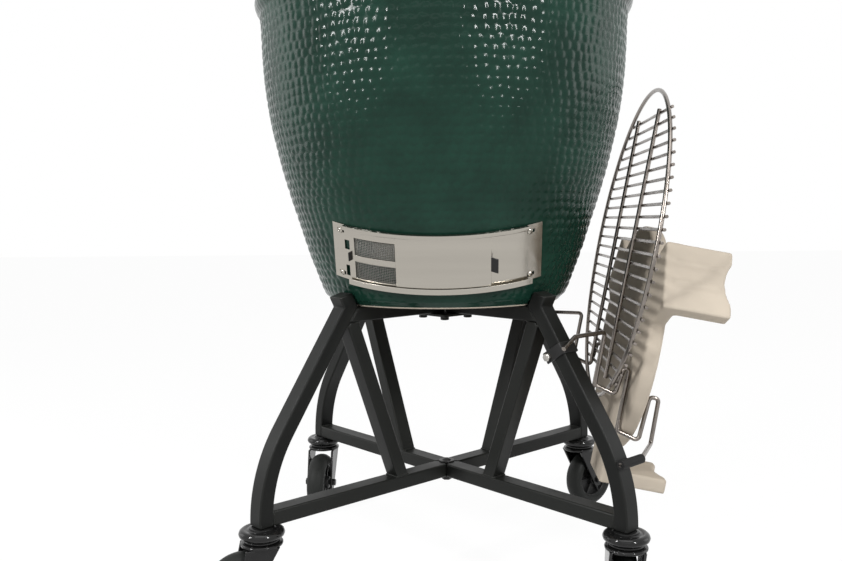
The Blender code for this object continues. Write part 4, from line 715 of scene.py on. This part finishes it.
def vent():
    r0 = VENT_R
    r1 = r0 + 0.0012
    lip, s = r1 + 0.0050, 0.0012
    top, low = VENT_HALF, -VENT_HALF
    window = swept("cut_window", slab(r0 - 0.01, r1 + 0.01, -0.0315, 0.0305), -30.3, -1.2, VENT)
    slots = []
    for across, rise in ((-38.0, 0.0300), (-38.3, -0.0310), (32.9, 0.0300), (33.1, -0.0305)):
        slots.append(swept(f"cut_slot_{across}", slab(r0 - 0.01, r1 + 0.01, rise - 0.0024, rise + 0.0024),
                           across - 1.5, across + 1.7, VENT, 0.4))
    notches = [(-36.3, -32.8, 0.0050, 0.0180), (-36.2, -34.5, -0.0330, -0.0180)]
    for n, (a, b, z0, z1) in enumerate(notches):
        slots.append(swept(f"cut_notch_{n}", slab(r0 - 0.01, r1 + 0.01, z0, z1), a, b, VENT, 0.5))
    back = cut(swept("vent_backplate", slab(r0, r1, low, top), -42.0, 38.0, VENT), window, *slots)
    put(bevelled(back, 0.0003, 1), "bright_sheet", "stand", "vent_frame")
    roll = [(r1 - 0.0002, top), (lip - 0.0016, top), (lip - 0.0004, top - 0.0004), (lip, top - 0.0016),
            (lip, top - 0.0052), (lip - 0.0004, top - 0.0058), (lip - s, top - 0.0056), (lip - s, top - 0.0018),
            (lip - s - 0.0008, top - s), (r1 - 0.0002, top - s)]
    put(swept("vent_top_rail", roll, -36.0, 31.3, VENT), "bright_sheet", "stand")
    out = lip + 0.0006
    channel = [(r1 - 0.0002, low + 0.0002), (out - 0.0008, low - 0.0042), (out, low - 0.0036), (out, low + 0.0036),
               (out - 0.0004, low + 0.0040), (out - s, low + 0.0038), (out - s, low - 0.0022),
               (r1 - 0.0002, low + 0.0014)]
    put(swept("vent_channel", channel, -34.0, 33.0, VENT), "bright_sheet", "stand")

    m0 = r1 + 0.00032
    edit = bmesh.new()
    half = 0.00030
    wires = 46
    for i in range(wires):
        phi = -32.2 + 30.3 * i / (wires - 1)
        swept_into(edit, slab(m0, m0 + 2 * half, -0.0333, 0.0270), phi - 0.085, phi + 0.085, 1)
    for i in range(27):
        z = -0.0330 + 0.0597 * i / 26
        swept_into(edit, slab(m0 - 0.0001, m0 + 2 * half + 0.0001, z - half, z + half), -32.2, -1.9, 3)
    put(from_bmesh("woven_screen", edit, VENT), "woven", "screen_slider", "screen_mesh", smooth=None)

    s0 = m0 + 0.0009
    sheet_low, sheet_high = low + 0.0020, top - 0.0020
    holes = [swept(f"cut_pane_{n}", slab(s0 - 0.01, s0 + 0.011, a, b), -31.5, -2.6, VENT)
             for n, (a, b) in enumerate(((-0.0325, -0.0087), (0.0000, 0.0244)))]
    screen = cut(swept("screen_slider_sheet", slab(s0, s0 + 0.0008, sheet_low, sheet_high), -33.6, -0.5, VENT),
                 *holes)
    put(bevelled(screen, 0.0002, 1), "bright_sheet", "screen_slider", "screen_door")
    edit = bmesh.new()
    swept_into(edit, slab(s0 + 0.0001, s0 + 0.0052, -0.0090, 0.0035), -33.55, -33.2, 1)
    put(bevelled(from_bmesh("screen_finger_tab", edit, VENT), 0.0006), "black_zinc_and_painted_dark_reflection", "screen_slider")
    d0 = s0 + 0.0008 + 0.00032
    door = swept("solid_door_sheet", slab(d0, d0 + 0.0008, sheet_low, sheet_high), -15.4, 17.5, VENT)
    put(bevelled(door, 0.0003, 1), "bright_sheet", "air_door", "vent_door")
    # The door's finger tab is stainless like the door; its black material is a painted dark reflection standing in
    # for the dark surroundings its steel mirrors, not a black finish.
    edit = bmesh.new()
    a0, a1, r_in, r_out = math.radians(17.2 - 90), math.radians(18.9 - 90), d0 + 0.0001, d0 + 0.0100
    tab = [(r_in * math.cos(a0), r_in * math.sin(a0)), (r_in * math.cos(a0) + 0.0011, r_in * math.sin(a0) + 0.0004),
           (r_out * math.cos(a1) + 0.0009, r_out * math.sin(a1) + 0.0006),
           (r_out * math.cos(a1), r_out * math.sin(a1))]
    prism(edit, tab, 0.0200, Matrix.Translation((0, 0, -0.0050)))
    put(bevelled(from_bmesh("door_finger_tab", edit, VENT), 0.0010, 3), "black_zinc_and_painted_dark_reflection", "air_door")
    for n, (phi, z) in enumerate(((-38.0, 0.0300), (-38.3, -0.0310), (32.5, 0.0300), (32.8, -0.0305))):
        here = VENT @ Matrix.Rotation(math.radians(phi - 90.0), 4, "Z") @ Matrix.Translation((r1, 0, z))
        here = here @ Matrix.Rotation(math.pi / 2, 4, "Y")
        head = lathe(f"vent_screw_{n}", [(0, 0.0026), (0.0012, 0.0025), (0.0026, 0.0021), (0.0036, 0.0013),
                                         (0.0041, 0.0003), (0.0041, 0.0001), (0.0016, 0.0001), (0.0016, -0.0008),
                                         (0, -0.0008)], 32, matrix=here)
        cross = []
        for k in (0, 1):
            edit = bmesh.new()
            turn = Matrix.Rotation(math.radians(37 + 90 * k + 20 * n), 4, "Z")
            box_into(edit, (-0.0022, -0.0004, 0.0011), (0.0022, 0.0004, 0.0040), here @ turn)
            cross.append(from_bmesh(f"cut_cross_{n}_{k}", edit))
        put(cut(head, *cross), "bright_sheet", "stand")


# ---- Bands, hinge and handle --------------------------------------------------------------------------------
def bands():
    inner, outer = RIM + GAP, RIM + GAP + 0.0022
    lower, upper = BOWL_TOP - 0.027, DOME_Z + 0.003
    put(lathe("lower_hoop", soft_ring(inner, outer, lower, lower + 0.024, 0.0005), 160, True, HOME), "powder",
        "stand", "lower_band")
    put(lathe("upper_hoop", soft_ring(inner, outer, upper, upper + 0.024, 0.0005), 160, True, HOME), "powder",
        "lid", "upper_band")
    front = -outer - 0.095
    for side, sign in (("left", -1), ("right", 1)):
        x = sign * 0.127
        start = -math.sqrt(outer ** 2 - 0.127 ** 2) + 0.0016
        low, high = upper + 0.002, upper + 0.022
        shape = [(front + 0.004, low - 0.010), (front + 0.030, low - 0.010), (front + 0.045, low), (start, low),
                 (start, high), (front, high), (front - 0.0035, low + 0.008)]
        arm = plate("handle_bracket_" + side, shape, 0.006, HOME @ Matrix(((0, 0, 1, x), (1, 0, 0, 0), (0, 1, 0, 0),
                                                                          (0, 0, 0, 1))))
        put(bevelled(arm, 0.0012, 2), "powder", "lid")
        here = HOME @ Matrix.Translation((x + sign * 0.003, front + 0.0165, upper + 0.0045))
        here = here @ Matrix.Rotation(sign * math.pi / 2, 4, "Y")
        put(lathe("handle_bolt_" + side, [(0, 0.0030), (0.0035, 0.0028), (0.0062, 0.0012), (0.0066, 0.0),
                                          (0, -0.0005)], 32, matrix=here), "zinc", "lid")
    reach, r = 0.1237, 0.0150
    half = [(0, reach), (r * 0.62, reach), (r * 0.74, reach - 0.0015), (r * 0.86, reach - 0.006),
            (r * 0.94, reach - 0.030), (r * 0.985, reach * 0.45), (r, 0.0)]
    grip = half + [(a, -b) for a, b in half[-2::-1]]
    here = HOME @ Matrix.Translation((0, front + 0.0165, upper + 0.0045)) @ Matrix.Rotation(math.pi / 2, 4, "Y")
    put(lathe("wooden_grip", grip, 48, matrix=here), "oiled_wood", "lid", "handle_bar")
    for name in ("hinge_lower_bracket", "hinge_upper_bracket"):
        recoat(name, "powder")
    recoat("hinge_pin", "zinc")
    pin_low, pin_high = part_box("hinge_pin")
    centre = (pin_low + pin_high) / 2
    for side, sign in (("left", -1), ("right", 1)):
        low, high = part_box("hinge_spring_" + side)
        start = (low.x if sign < 0 else high.x) - AXIS.x
        end = (high.x if sign < 0 else low.x) - AXIS.x
        wire_r = 0.0015
        turns = 8
        path = []
        for i in range(turns * 18 + 1):
            a = 2 * math.pi * i / 18
            x = start - sign * wire_r + (end - start + 2 * sign * wire_r) * i / (turns * 18)
            path.append(Vector((AXIS.x + x, centre.y + 0.0090 * math.cos(a), centre.z + 0.0090 * math.sin(a))))
        put(wire("lid_spring_" + side, path, wire_r, 3), "zinc", "stand", "hinge_spring_" + side)


def recoat(node, material_name):
    slots = frame["nodes"][node].data.materials
    slots.clear()
    slots.append(MATERIALS[material_name][0])


# ---- Thermometer and chimney top ----------------------------------------------------------------------------
def thermometer():
    wall, lean = 0.2530 + 0.011 * (0.130 - 0.118) / 0.045, math.atan2(0.011, 0.045)
    here = HOME @ Matrix.Translation((0, -wall, DOME_Z + 0.118)) @ Matrix.Rotation(math.pi / 2 - lean, 4, "X")
    here = here @ Matrix.Translation((0, 0, 2 * GAP))
    profile = [(0, 0.0120), (0.0325, 0.0120), (0.0332, 0.0126), (0.0334, 0.0172), (0.0342, 0.0180), (0.0358, 0.0180),
               (0.0367, 0.0173), (0.0370, 0.0158), (0.0370, 0.0035), (0.0360, 0.0012), (0.0310, 0.0000),
               (0.0035, 0.0), (0.0035, -0.0500), (0, -0.0540)]
    put(lathe("dial_case", profile, 80, matrix=here), "dial_black", "lid", "thermometer_case")
    edit = bmesh.new()
    for i in range(31):
        angle = math.radians(225 - 270 * i / 30)
        major = i % 5 == 0
        turn = Matrix.Rotation(angle, 4, "Z")
        box_into(edit, (0.0265 if major else 0.0285, -0.0006 if major else -0.0003, 0.0119),
                 (0.0312, 0.0006 if major else 0.0003, 0.0122), turn)
    put(from_bmesh("dial_marks", edit, here), "dial_white", "lid")
    turn = here @ Matrix.Translation((0, 0, 0.0131)) @ Matrix.Rotation(math.radians(135), 4, "Z")
    edit = bmesh.new()
    prism(edit, [(-0.0030, -0.0080), (0.0030, -0.0080), (0.0022, 0.0040), (0.0006, 0.0270), (-0.0006, 0.0270),
                 (-0.0022, 0.0040)], 0.0008)
    lathe_into(edit, [(0, 0.0016), (0.0038, 0.0014), (0.0045, 0.0006), (0.0045, -0.0008), (0, -0.0008)], 32)
    put(bevelled(from_bmesh("dial_pointer", edit, turn), 0.0002, 1), "needle_red", "dial_needle",
        "thermometer_needle")


def chimney():
    recoat("damper_cover", "iron")
    recoat("damper_wheel", "iron")
    low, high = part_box("damper_base")
    foot = low.z
    neck, top = 0.0680 + GAP, DOME_TOP + 0.004
    collar = [(0.0475, top), (neck + 0.0040, top), (neck + 0.0050, top - 0.0010), (neck + 0.0050, foot + 0.0012),
              (neck + 0.0042, foot), (neck, foot), (neck, DOME_TOP + GAP), (0.0475, DOME_TOP + GAP)]
    edit = bmesh.new()
    lathe_into(edit, collar, 96, True)
    rod_into(edit, 0.0035, (0, 0.059, top - 0.001), (0, 0.059, high.z), 24)
    put(bevelled(from_bmesh("chimney_collar", edit, HOME), 0.0004, 1), "iron", "lid", "damper_base")


# ---- Side rack ----------------------------------------------------------------------------------------------
NORMAL = Vector((math.cos(RACK_TILT), 0.0, -math.sin(RACK_TILT)))
UPWARD = Vector((math.sin(RACK_TILT), 0.0, math.cos(RACK_TILT)))


def rack_matrix(forward, rise):
    centre = DEFLECTOR + NORMAL * forward + UPWARD * rise
    axes = Matrix((UPWARD, Vector((0, -1, 0)), NORMAL)).transposed().to_4x4()
    return Matrix.Translation(centre) @ axes


def rack():
    half_y, w, thick = 0.120, 0.003, 0.022
    grid_seat = 0.1357 - (math.sqrt((0.2285 + 0.003 + w + GAP) ** 2 - half_y ** 2)) - 0.0012
    plate_seat = -math.sqrt((0.168 + w + GAP) ** 2 - half_y ** 2) - 0.0004
    loop_low = -0.0358 + 0.003 + 0.0044 + w + 0.0028
    left, right = -thick / 2 - w - 0.0016, thick / 2 + w + 0.0055
    course = [(-0.0575, 0.0120), (-0.0575, grid_seat + 0.005), (-0.0280, grid_seat - 0.0032), (loop_low, -0.0330),
              (left, -0.0330), (left, plate_seat + 0.0030), (right - 0.0035, plate_seat - 0.0055),
              (right, -0.0650), (right + 0.0125, -0.0650), (right + 0.0140, -0.1290)]
    for side, sign in (("front", -1), ("rear", 1)):
        path = []
        for forward, rise in course:
            p = DEFLECTOR + NORMAL * forward + UPWARD * rise
            path.append(Vector((p.x, AXIS.y + sign * half_y, p.z)))
        out = Vector((math.sqrt(0.5), sign * math.sqrt(0.5), 0.0))
        across = Vector((math.sqrt(0.5), -sign * math.sqrt(0.5), 0.0))

        def on_leg(along, height, standoff):
            radius = leg_x(height, TUBE_DEPTH / 2) + standoff / math.sin(LEG_SLOPE)
            return AXIS + out * radius + across * along + Vector((0, 0, RAIL_Z + height))

        upper = [on_leg(-TUBE_WIDTH / 2 - 0.004, 0.222, w + 0.0022 + 2 * GAP),
                 on_leg(TUBE_WIDTH / 2 + 0.004, 0.234, w + 0.0022 + 2 * GAP)]
        lower = [on_leg(TUBE_WIDTH / 2 + 0.016, 0.086, 0.0062 + 0.0012),
                 on_leg(-TUBE_WIDTH / 2 - 0.003, 0.086, 0.0062 + 0.0012)]
        full = rounded(upper + path + lower, 0.0055, 10)
        put(wire("rack_rod_" + side, full, w, 6), "drawn_wire", "stand", "rack_wire_" + side)
        put(wire("rubber_sleeve_" + side, [lower[0].lerp(lower[1], t / 12) for t in range(13)], 0.0060, 6),
            "sleeve", "stand")
        clamp(side, sign)


def clamp(side, sign):
    level = 0.222
    frame_here = side_frame(LEG_ANGLES[side + "_right"])
    here = frame_here @ Matrix.Translation((leg_x(level, TUBE_DEPTH / 2), level, 0))
    here = here @ Matrix.Rotation(math.pi / 2 - LEG_SLOPE, 4, "Z")
    half, sheet, tall, deep = TUBE_WIDTH / 2 + GAP, 0.0022, 0.008, TUBE_DEPTH + 0.011
    edit = bmesh.new()
    outline = [(-deep, half), (-deep, half + sheet), (-0.002, half + sheet), (GAP + sheet * 0.8, half + sheet * 0.8),
               (GAP + sheet, half - 0.002), (GAP + sheet, -half + 0.002), (GAP + sheet * 0.8, -half - sheet * 0.8),
               (-0.002, -half - sheet), (-deep, -half - sheet), (-deep, -half), (GAP, -half), (GAP, half)]
    prism(edit, outline, 2 * tall, Matrix(((1, 0, 0, 0), (0, 0, 1, 0), (0, -1, 0, 0), (0, 0, 0, 1))))
    put(bevelled(from_bmesh("leg_clamp_" + side, edit, here), 0.0008, 2), "black_zinc_and_painted_dark_reflection", "stand",
        "rack_clamp_" + side)
    edit = bmesh.new()
    x = -TUBE_DEPTH - 0.0055
    rod_into(edit, 0.003, (x, 0, -half - sheet), (x, 0, half + sheet), 20)
    rod_into(edit, 0.0058, (x, 0, half + sheet - 0.0004), (x, 0, half + sheet + 0.0042), 6)
    rod_into(edit, 0.0055, (x, 0, -half - sheet - 0.0040), (x, 0, -half - sheet + 0.0004), 24)
    put(bevelled(from_bmesh("clamp_bolt_" + side, edit, here), 0.0008, 2), "cap_nut", "stand")


def cooking_grid():
    here = rack_matrix(-0.0358, 0.1357)
    edit = bmesh.new()
    ring = [(0.2285 + 0.003 * math.cos(math.radians(a)), 0.003 * math.sin(math.radians(a)))
            for a in range(0, 360, 24)]
    lathe_into(edit, ring[::-1], 160, True)
    rod, lift, pitch, count = 0.0022, 0.003 + 0.0022 - 0.0009, 0.0165, 24
    first = -(count - 1) / 2 * pitch
    for i in range(count):
        x = first + i * pitch
        reach = math.sqrt(0.2285 ** 2 - x ** 2) + 0.006
        rod_into(edit, rod, (x, -reach, lift), (x, reach, lift), 14)
    for sign in (-1, 1):
        rod_into(edit, 0.003, (first - 0.004, sign * 0.072, 0), (-first + 0.004, sign * 0.072, 0), 16)
    put(bevelled(from_bmesh("grid_of_rods", edit, here), 0.0005, 1, 60), "drawn_wire", "grid", "cooking_grid")


def heat_deflector():
    here = rack_matrix(0.0, 0.0)
    half = 0.011
    edit = bmesh.new()
    lathe_into(edit, [(0, half), (0.164, half), (0.1668, half - 0.0012), (0.168, half - 0.004),
                      (0.168, -half + 0.004), (0.1668, -half + 0.0012), (0.164, -half), (0, -half)], 96)
    solid = from_bmesh("deflector_casting", edit)
    for number in range(3):
        tip = half + (0.076 if number == 0 else 0.066)
        turn = Matrix.Rotation(math.radians(180 + 120 * number), 4, "Z")
        edit = bmesh.new()
        box_into(edit, (0.110, -0.048, -half + 0.0004), (0.216, 0.048, half - 0.0004), turn)
        solid = joined(solid, from_bmesh("ear", edit))
        arch = [(-0.0475, -0.002), (0.0475, -0.002), (0.0475, tip)]
        arch += [(0.055 * math.cos(math.radians(a)), tip + 0.046 + 0.055 * math.sin(math.radians(a)))
                 for a in range(-57, -124, -6)]
        arch += [(-0.0475, tip)]
        edit = bmesh.new()
        stand_up = Matrix(((0, 0, 1, 0.205), (1, 0, 0, 0), (0, 1, 0, 0), (0, 0, 0, 1)))
        prism(edit, arch, 0.0215, turn @ stand_up)
        for across in (-0.018, 0.010):
            swell = turn @ Matrix.Translation((0.205 + 0.0105, across, 0)) @ Matrix.Diagonal((0.55, 1, 1, 1))
            rod_into(edit, 0.0052, (0, 0, 0.002), (0, 0, tip - 0.016), 20, swell)
        solid = joined(solid, from_bmesh("leg", edit))
    bpy.context.scene.collection.objects.link(solid)
    remesh = solid.modifiers.new("one_casting", "REMESH")
    remesh.mode, remesh.voxel_size = "VOXEL", 0.0022
    soften = solid.modifiers.new("soften", "SMOOTH")
    soften.factor, soften.iterations = 0.5, 7
    bpy.context.view_layer.update()
    graph = bpy.context.evaluated_depsgraph_get()
    mesh = bpy.data.meshes.new_from_object(solid.evaluated_get(graph))
    solid.modifiers.clear()
    solid.data = mesh
    mesh.transform(here)
    if here.determinant() < 0:
        mesh.flip_normals()
    put(solid, "bisque", "deflector", "heat_deflector", smooth=None)


def joined(first, second):
    edit = bmesh.new()
    for obj in (first, second):
        edit.from_mesh(obj.data)
        bpy.data.objects.remove(obj)
    return from_bmesh("deflector_casting", edit)


# ---- Floor, light and camera --------------------------------------------------------------------------------
def shown(nodes, links, path, emitter, white):
    """1 for rays that show the white background: the camera's, and those that metal and glass send out."""
    emitter.inputs["Strength"].default_value = white
    either = nodes.new("ShaderNodeMath")
    either.operation = "MAXIMUM"
    links.new(path.outputs["Is Camera Ray"], either.inputs[0])
    links.new(path.outputs["Is Glossy Ray"], either.inputs[1])
    every = nodes.new("ShaderNodeMath")
    every.operation = "MAXIMUM"
    links.new(either.outputs[0], every.inputs[0])
    links.new(path.outputs["Is Transmission Ray"], every.inputs[1])
    return every.outputs[0]


def floor():
    edit = bmesh.new()
    bmesh.ops.create_grid(edit, x_segments=1, y_segments=1, size=12.0)
    obj = from_bmesh("floor", edit)
    bpy.context.scene.collection.objects.link(obj)
    item = bpy.data.materials.new("floor_white")
    item.use_nodes = True
    nodes, links = item.node_tree.nodes, item.node_tree.links
    shader = nodes["Principled BSDF"]
    shader.inputs["Base Color"].default_value = (0.80, 0.80, 0.80, 1)
    shader.inputs["Roughness"].default_value = 0.9
    glow = nodes.new("ShaderNodeEmission")
    path = nodes.new("ShaderNodeLightPath")
    mix = nodes.new("ShaderNodeMixShader")
    dim = nodes.new("ShaderNodeMath")
    dim.operation = "MULTIPLY"
    dim.inputs[1].default_value = 0.93
    links.new(shown(nodes, links, path, glow, 1.035), dim.inputs[0])
    links.new(dim.outputs[0], mix.inputs["Fac"])
    links.new(shader.outputs[0], mix.inputs[1])
    links.new(glow.outputs[0], mix.inputs[2])
    links.new(mix.outputs[0], nodes["Material Output"].inputs["Surface"])
    obj.data.materials.append(item)


def world():
    sky = bpy.data.worlds.new("studio")
    bpy.context.scene.world = sky
    sky.use_nodes = True
    nodes, links = sky.node_tree.nodes, sky.node_tree.links
    soft = nodes["Background"]
    soft.inputs["Color"].default_value = (1.0, 1.0, 1.0, 1)
    soft.inputs["Strength"].default_value = 0.12
    seen = nodes.new("ShaderNodeBackground")
    seen.inputs["Color"].default_value = (1.0, 1.0, 1.0, 1)
    path = nodes.new("ShaderNodeLightPath")
    mix = nodes.new("ShaderNodeMixShader")
    links.new(shown(nodes, links, path, seen, 1.0), mix.inputs["Fac"])
    links.new(soft.outputs[0], mix.inputs[1])
    links.new(seen.outputs[0], mix.inputs[2])
    links.new(mix.outputs[0], nodes["World Output"].inputs["Surface"])


def lamp(name, azimuth, distance, height, wide, tall, power, aim=0.75):
    """A soft box at an angle round the bowl's axis, facing it."""
    light = bpy.data.lights.new(name, "AREA")
    light.shape, light.size, light.size_y, light.energy = "RECTANGLE", wide, tall, power
    obj = bpy.data.objects.new(name, light)
    bpy.context.scene.collection.objects.link(obj)
    a = math.radians(azimuth)
    obj.location = AXIS + Vector((distance * math.sin(a), -distance * math.cos(a), height))
    obj.rotation_euler = (AXIS + Vector((0, 0, aim)) - obj.location).to_track_quat("-Z", "Y").to_euler()


def studio():
    lamp("strip_left", -52, 2.3, 1.55, 0.14, 0.9, 40)
    lamp("strip_right", 38, 2.3, 1.55, 0.15, 0.9, 40)
    lamp("overhead", 0, 0.9, 3.0, 2.4, 1.8, 30, 0.5)
    lamp("front_fill", -6, 3.4, 1.9, 2.6, 0.8, 5, 0.4)
    lamp("side_left", -100, 2.6, 1.0, 1.2, 1.4, 7, 0.5)
    lamp("side_right", 98, 2.6, 1.0, 1.2, 1.4, 7, 0.5)


def camera():
    data = bpy.data.cameras.new("camera")
    obj = bpy.data.objects.new("camera", data)
    bpy.context.scene.collection.objects.link(obj)
    data.lens, data.sensor_width, data.clip_start = 36.07, 36.0, 0.02
    forward = Vector((-0.05867, 0.99577, -0.07068))
    obj.location = AXIS + Vector((0.0388, -1.2826, 0.5208))
    turn = forward.to_track_quat("-Z", "Y").to_matrix() @ Matrix.Rotation(math.radians(-0.61), 3, "Z")
    obj.rotation_euler = turn.to_euler()
    bpy.context.scene.camera = obj


make_materials()
camera()
stand()
casters()
bowl()
dome()
inside()
vent()
bands()
thermometer()
chimney()
rack()
cooking_grid()
heat_deflector()
floor()
world()
studio()
bpy.context.scene.view_settings.view_transform = "Standard"

bpy.context.view_layer.update()
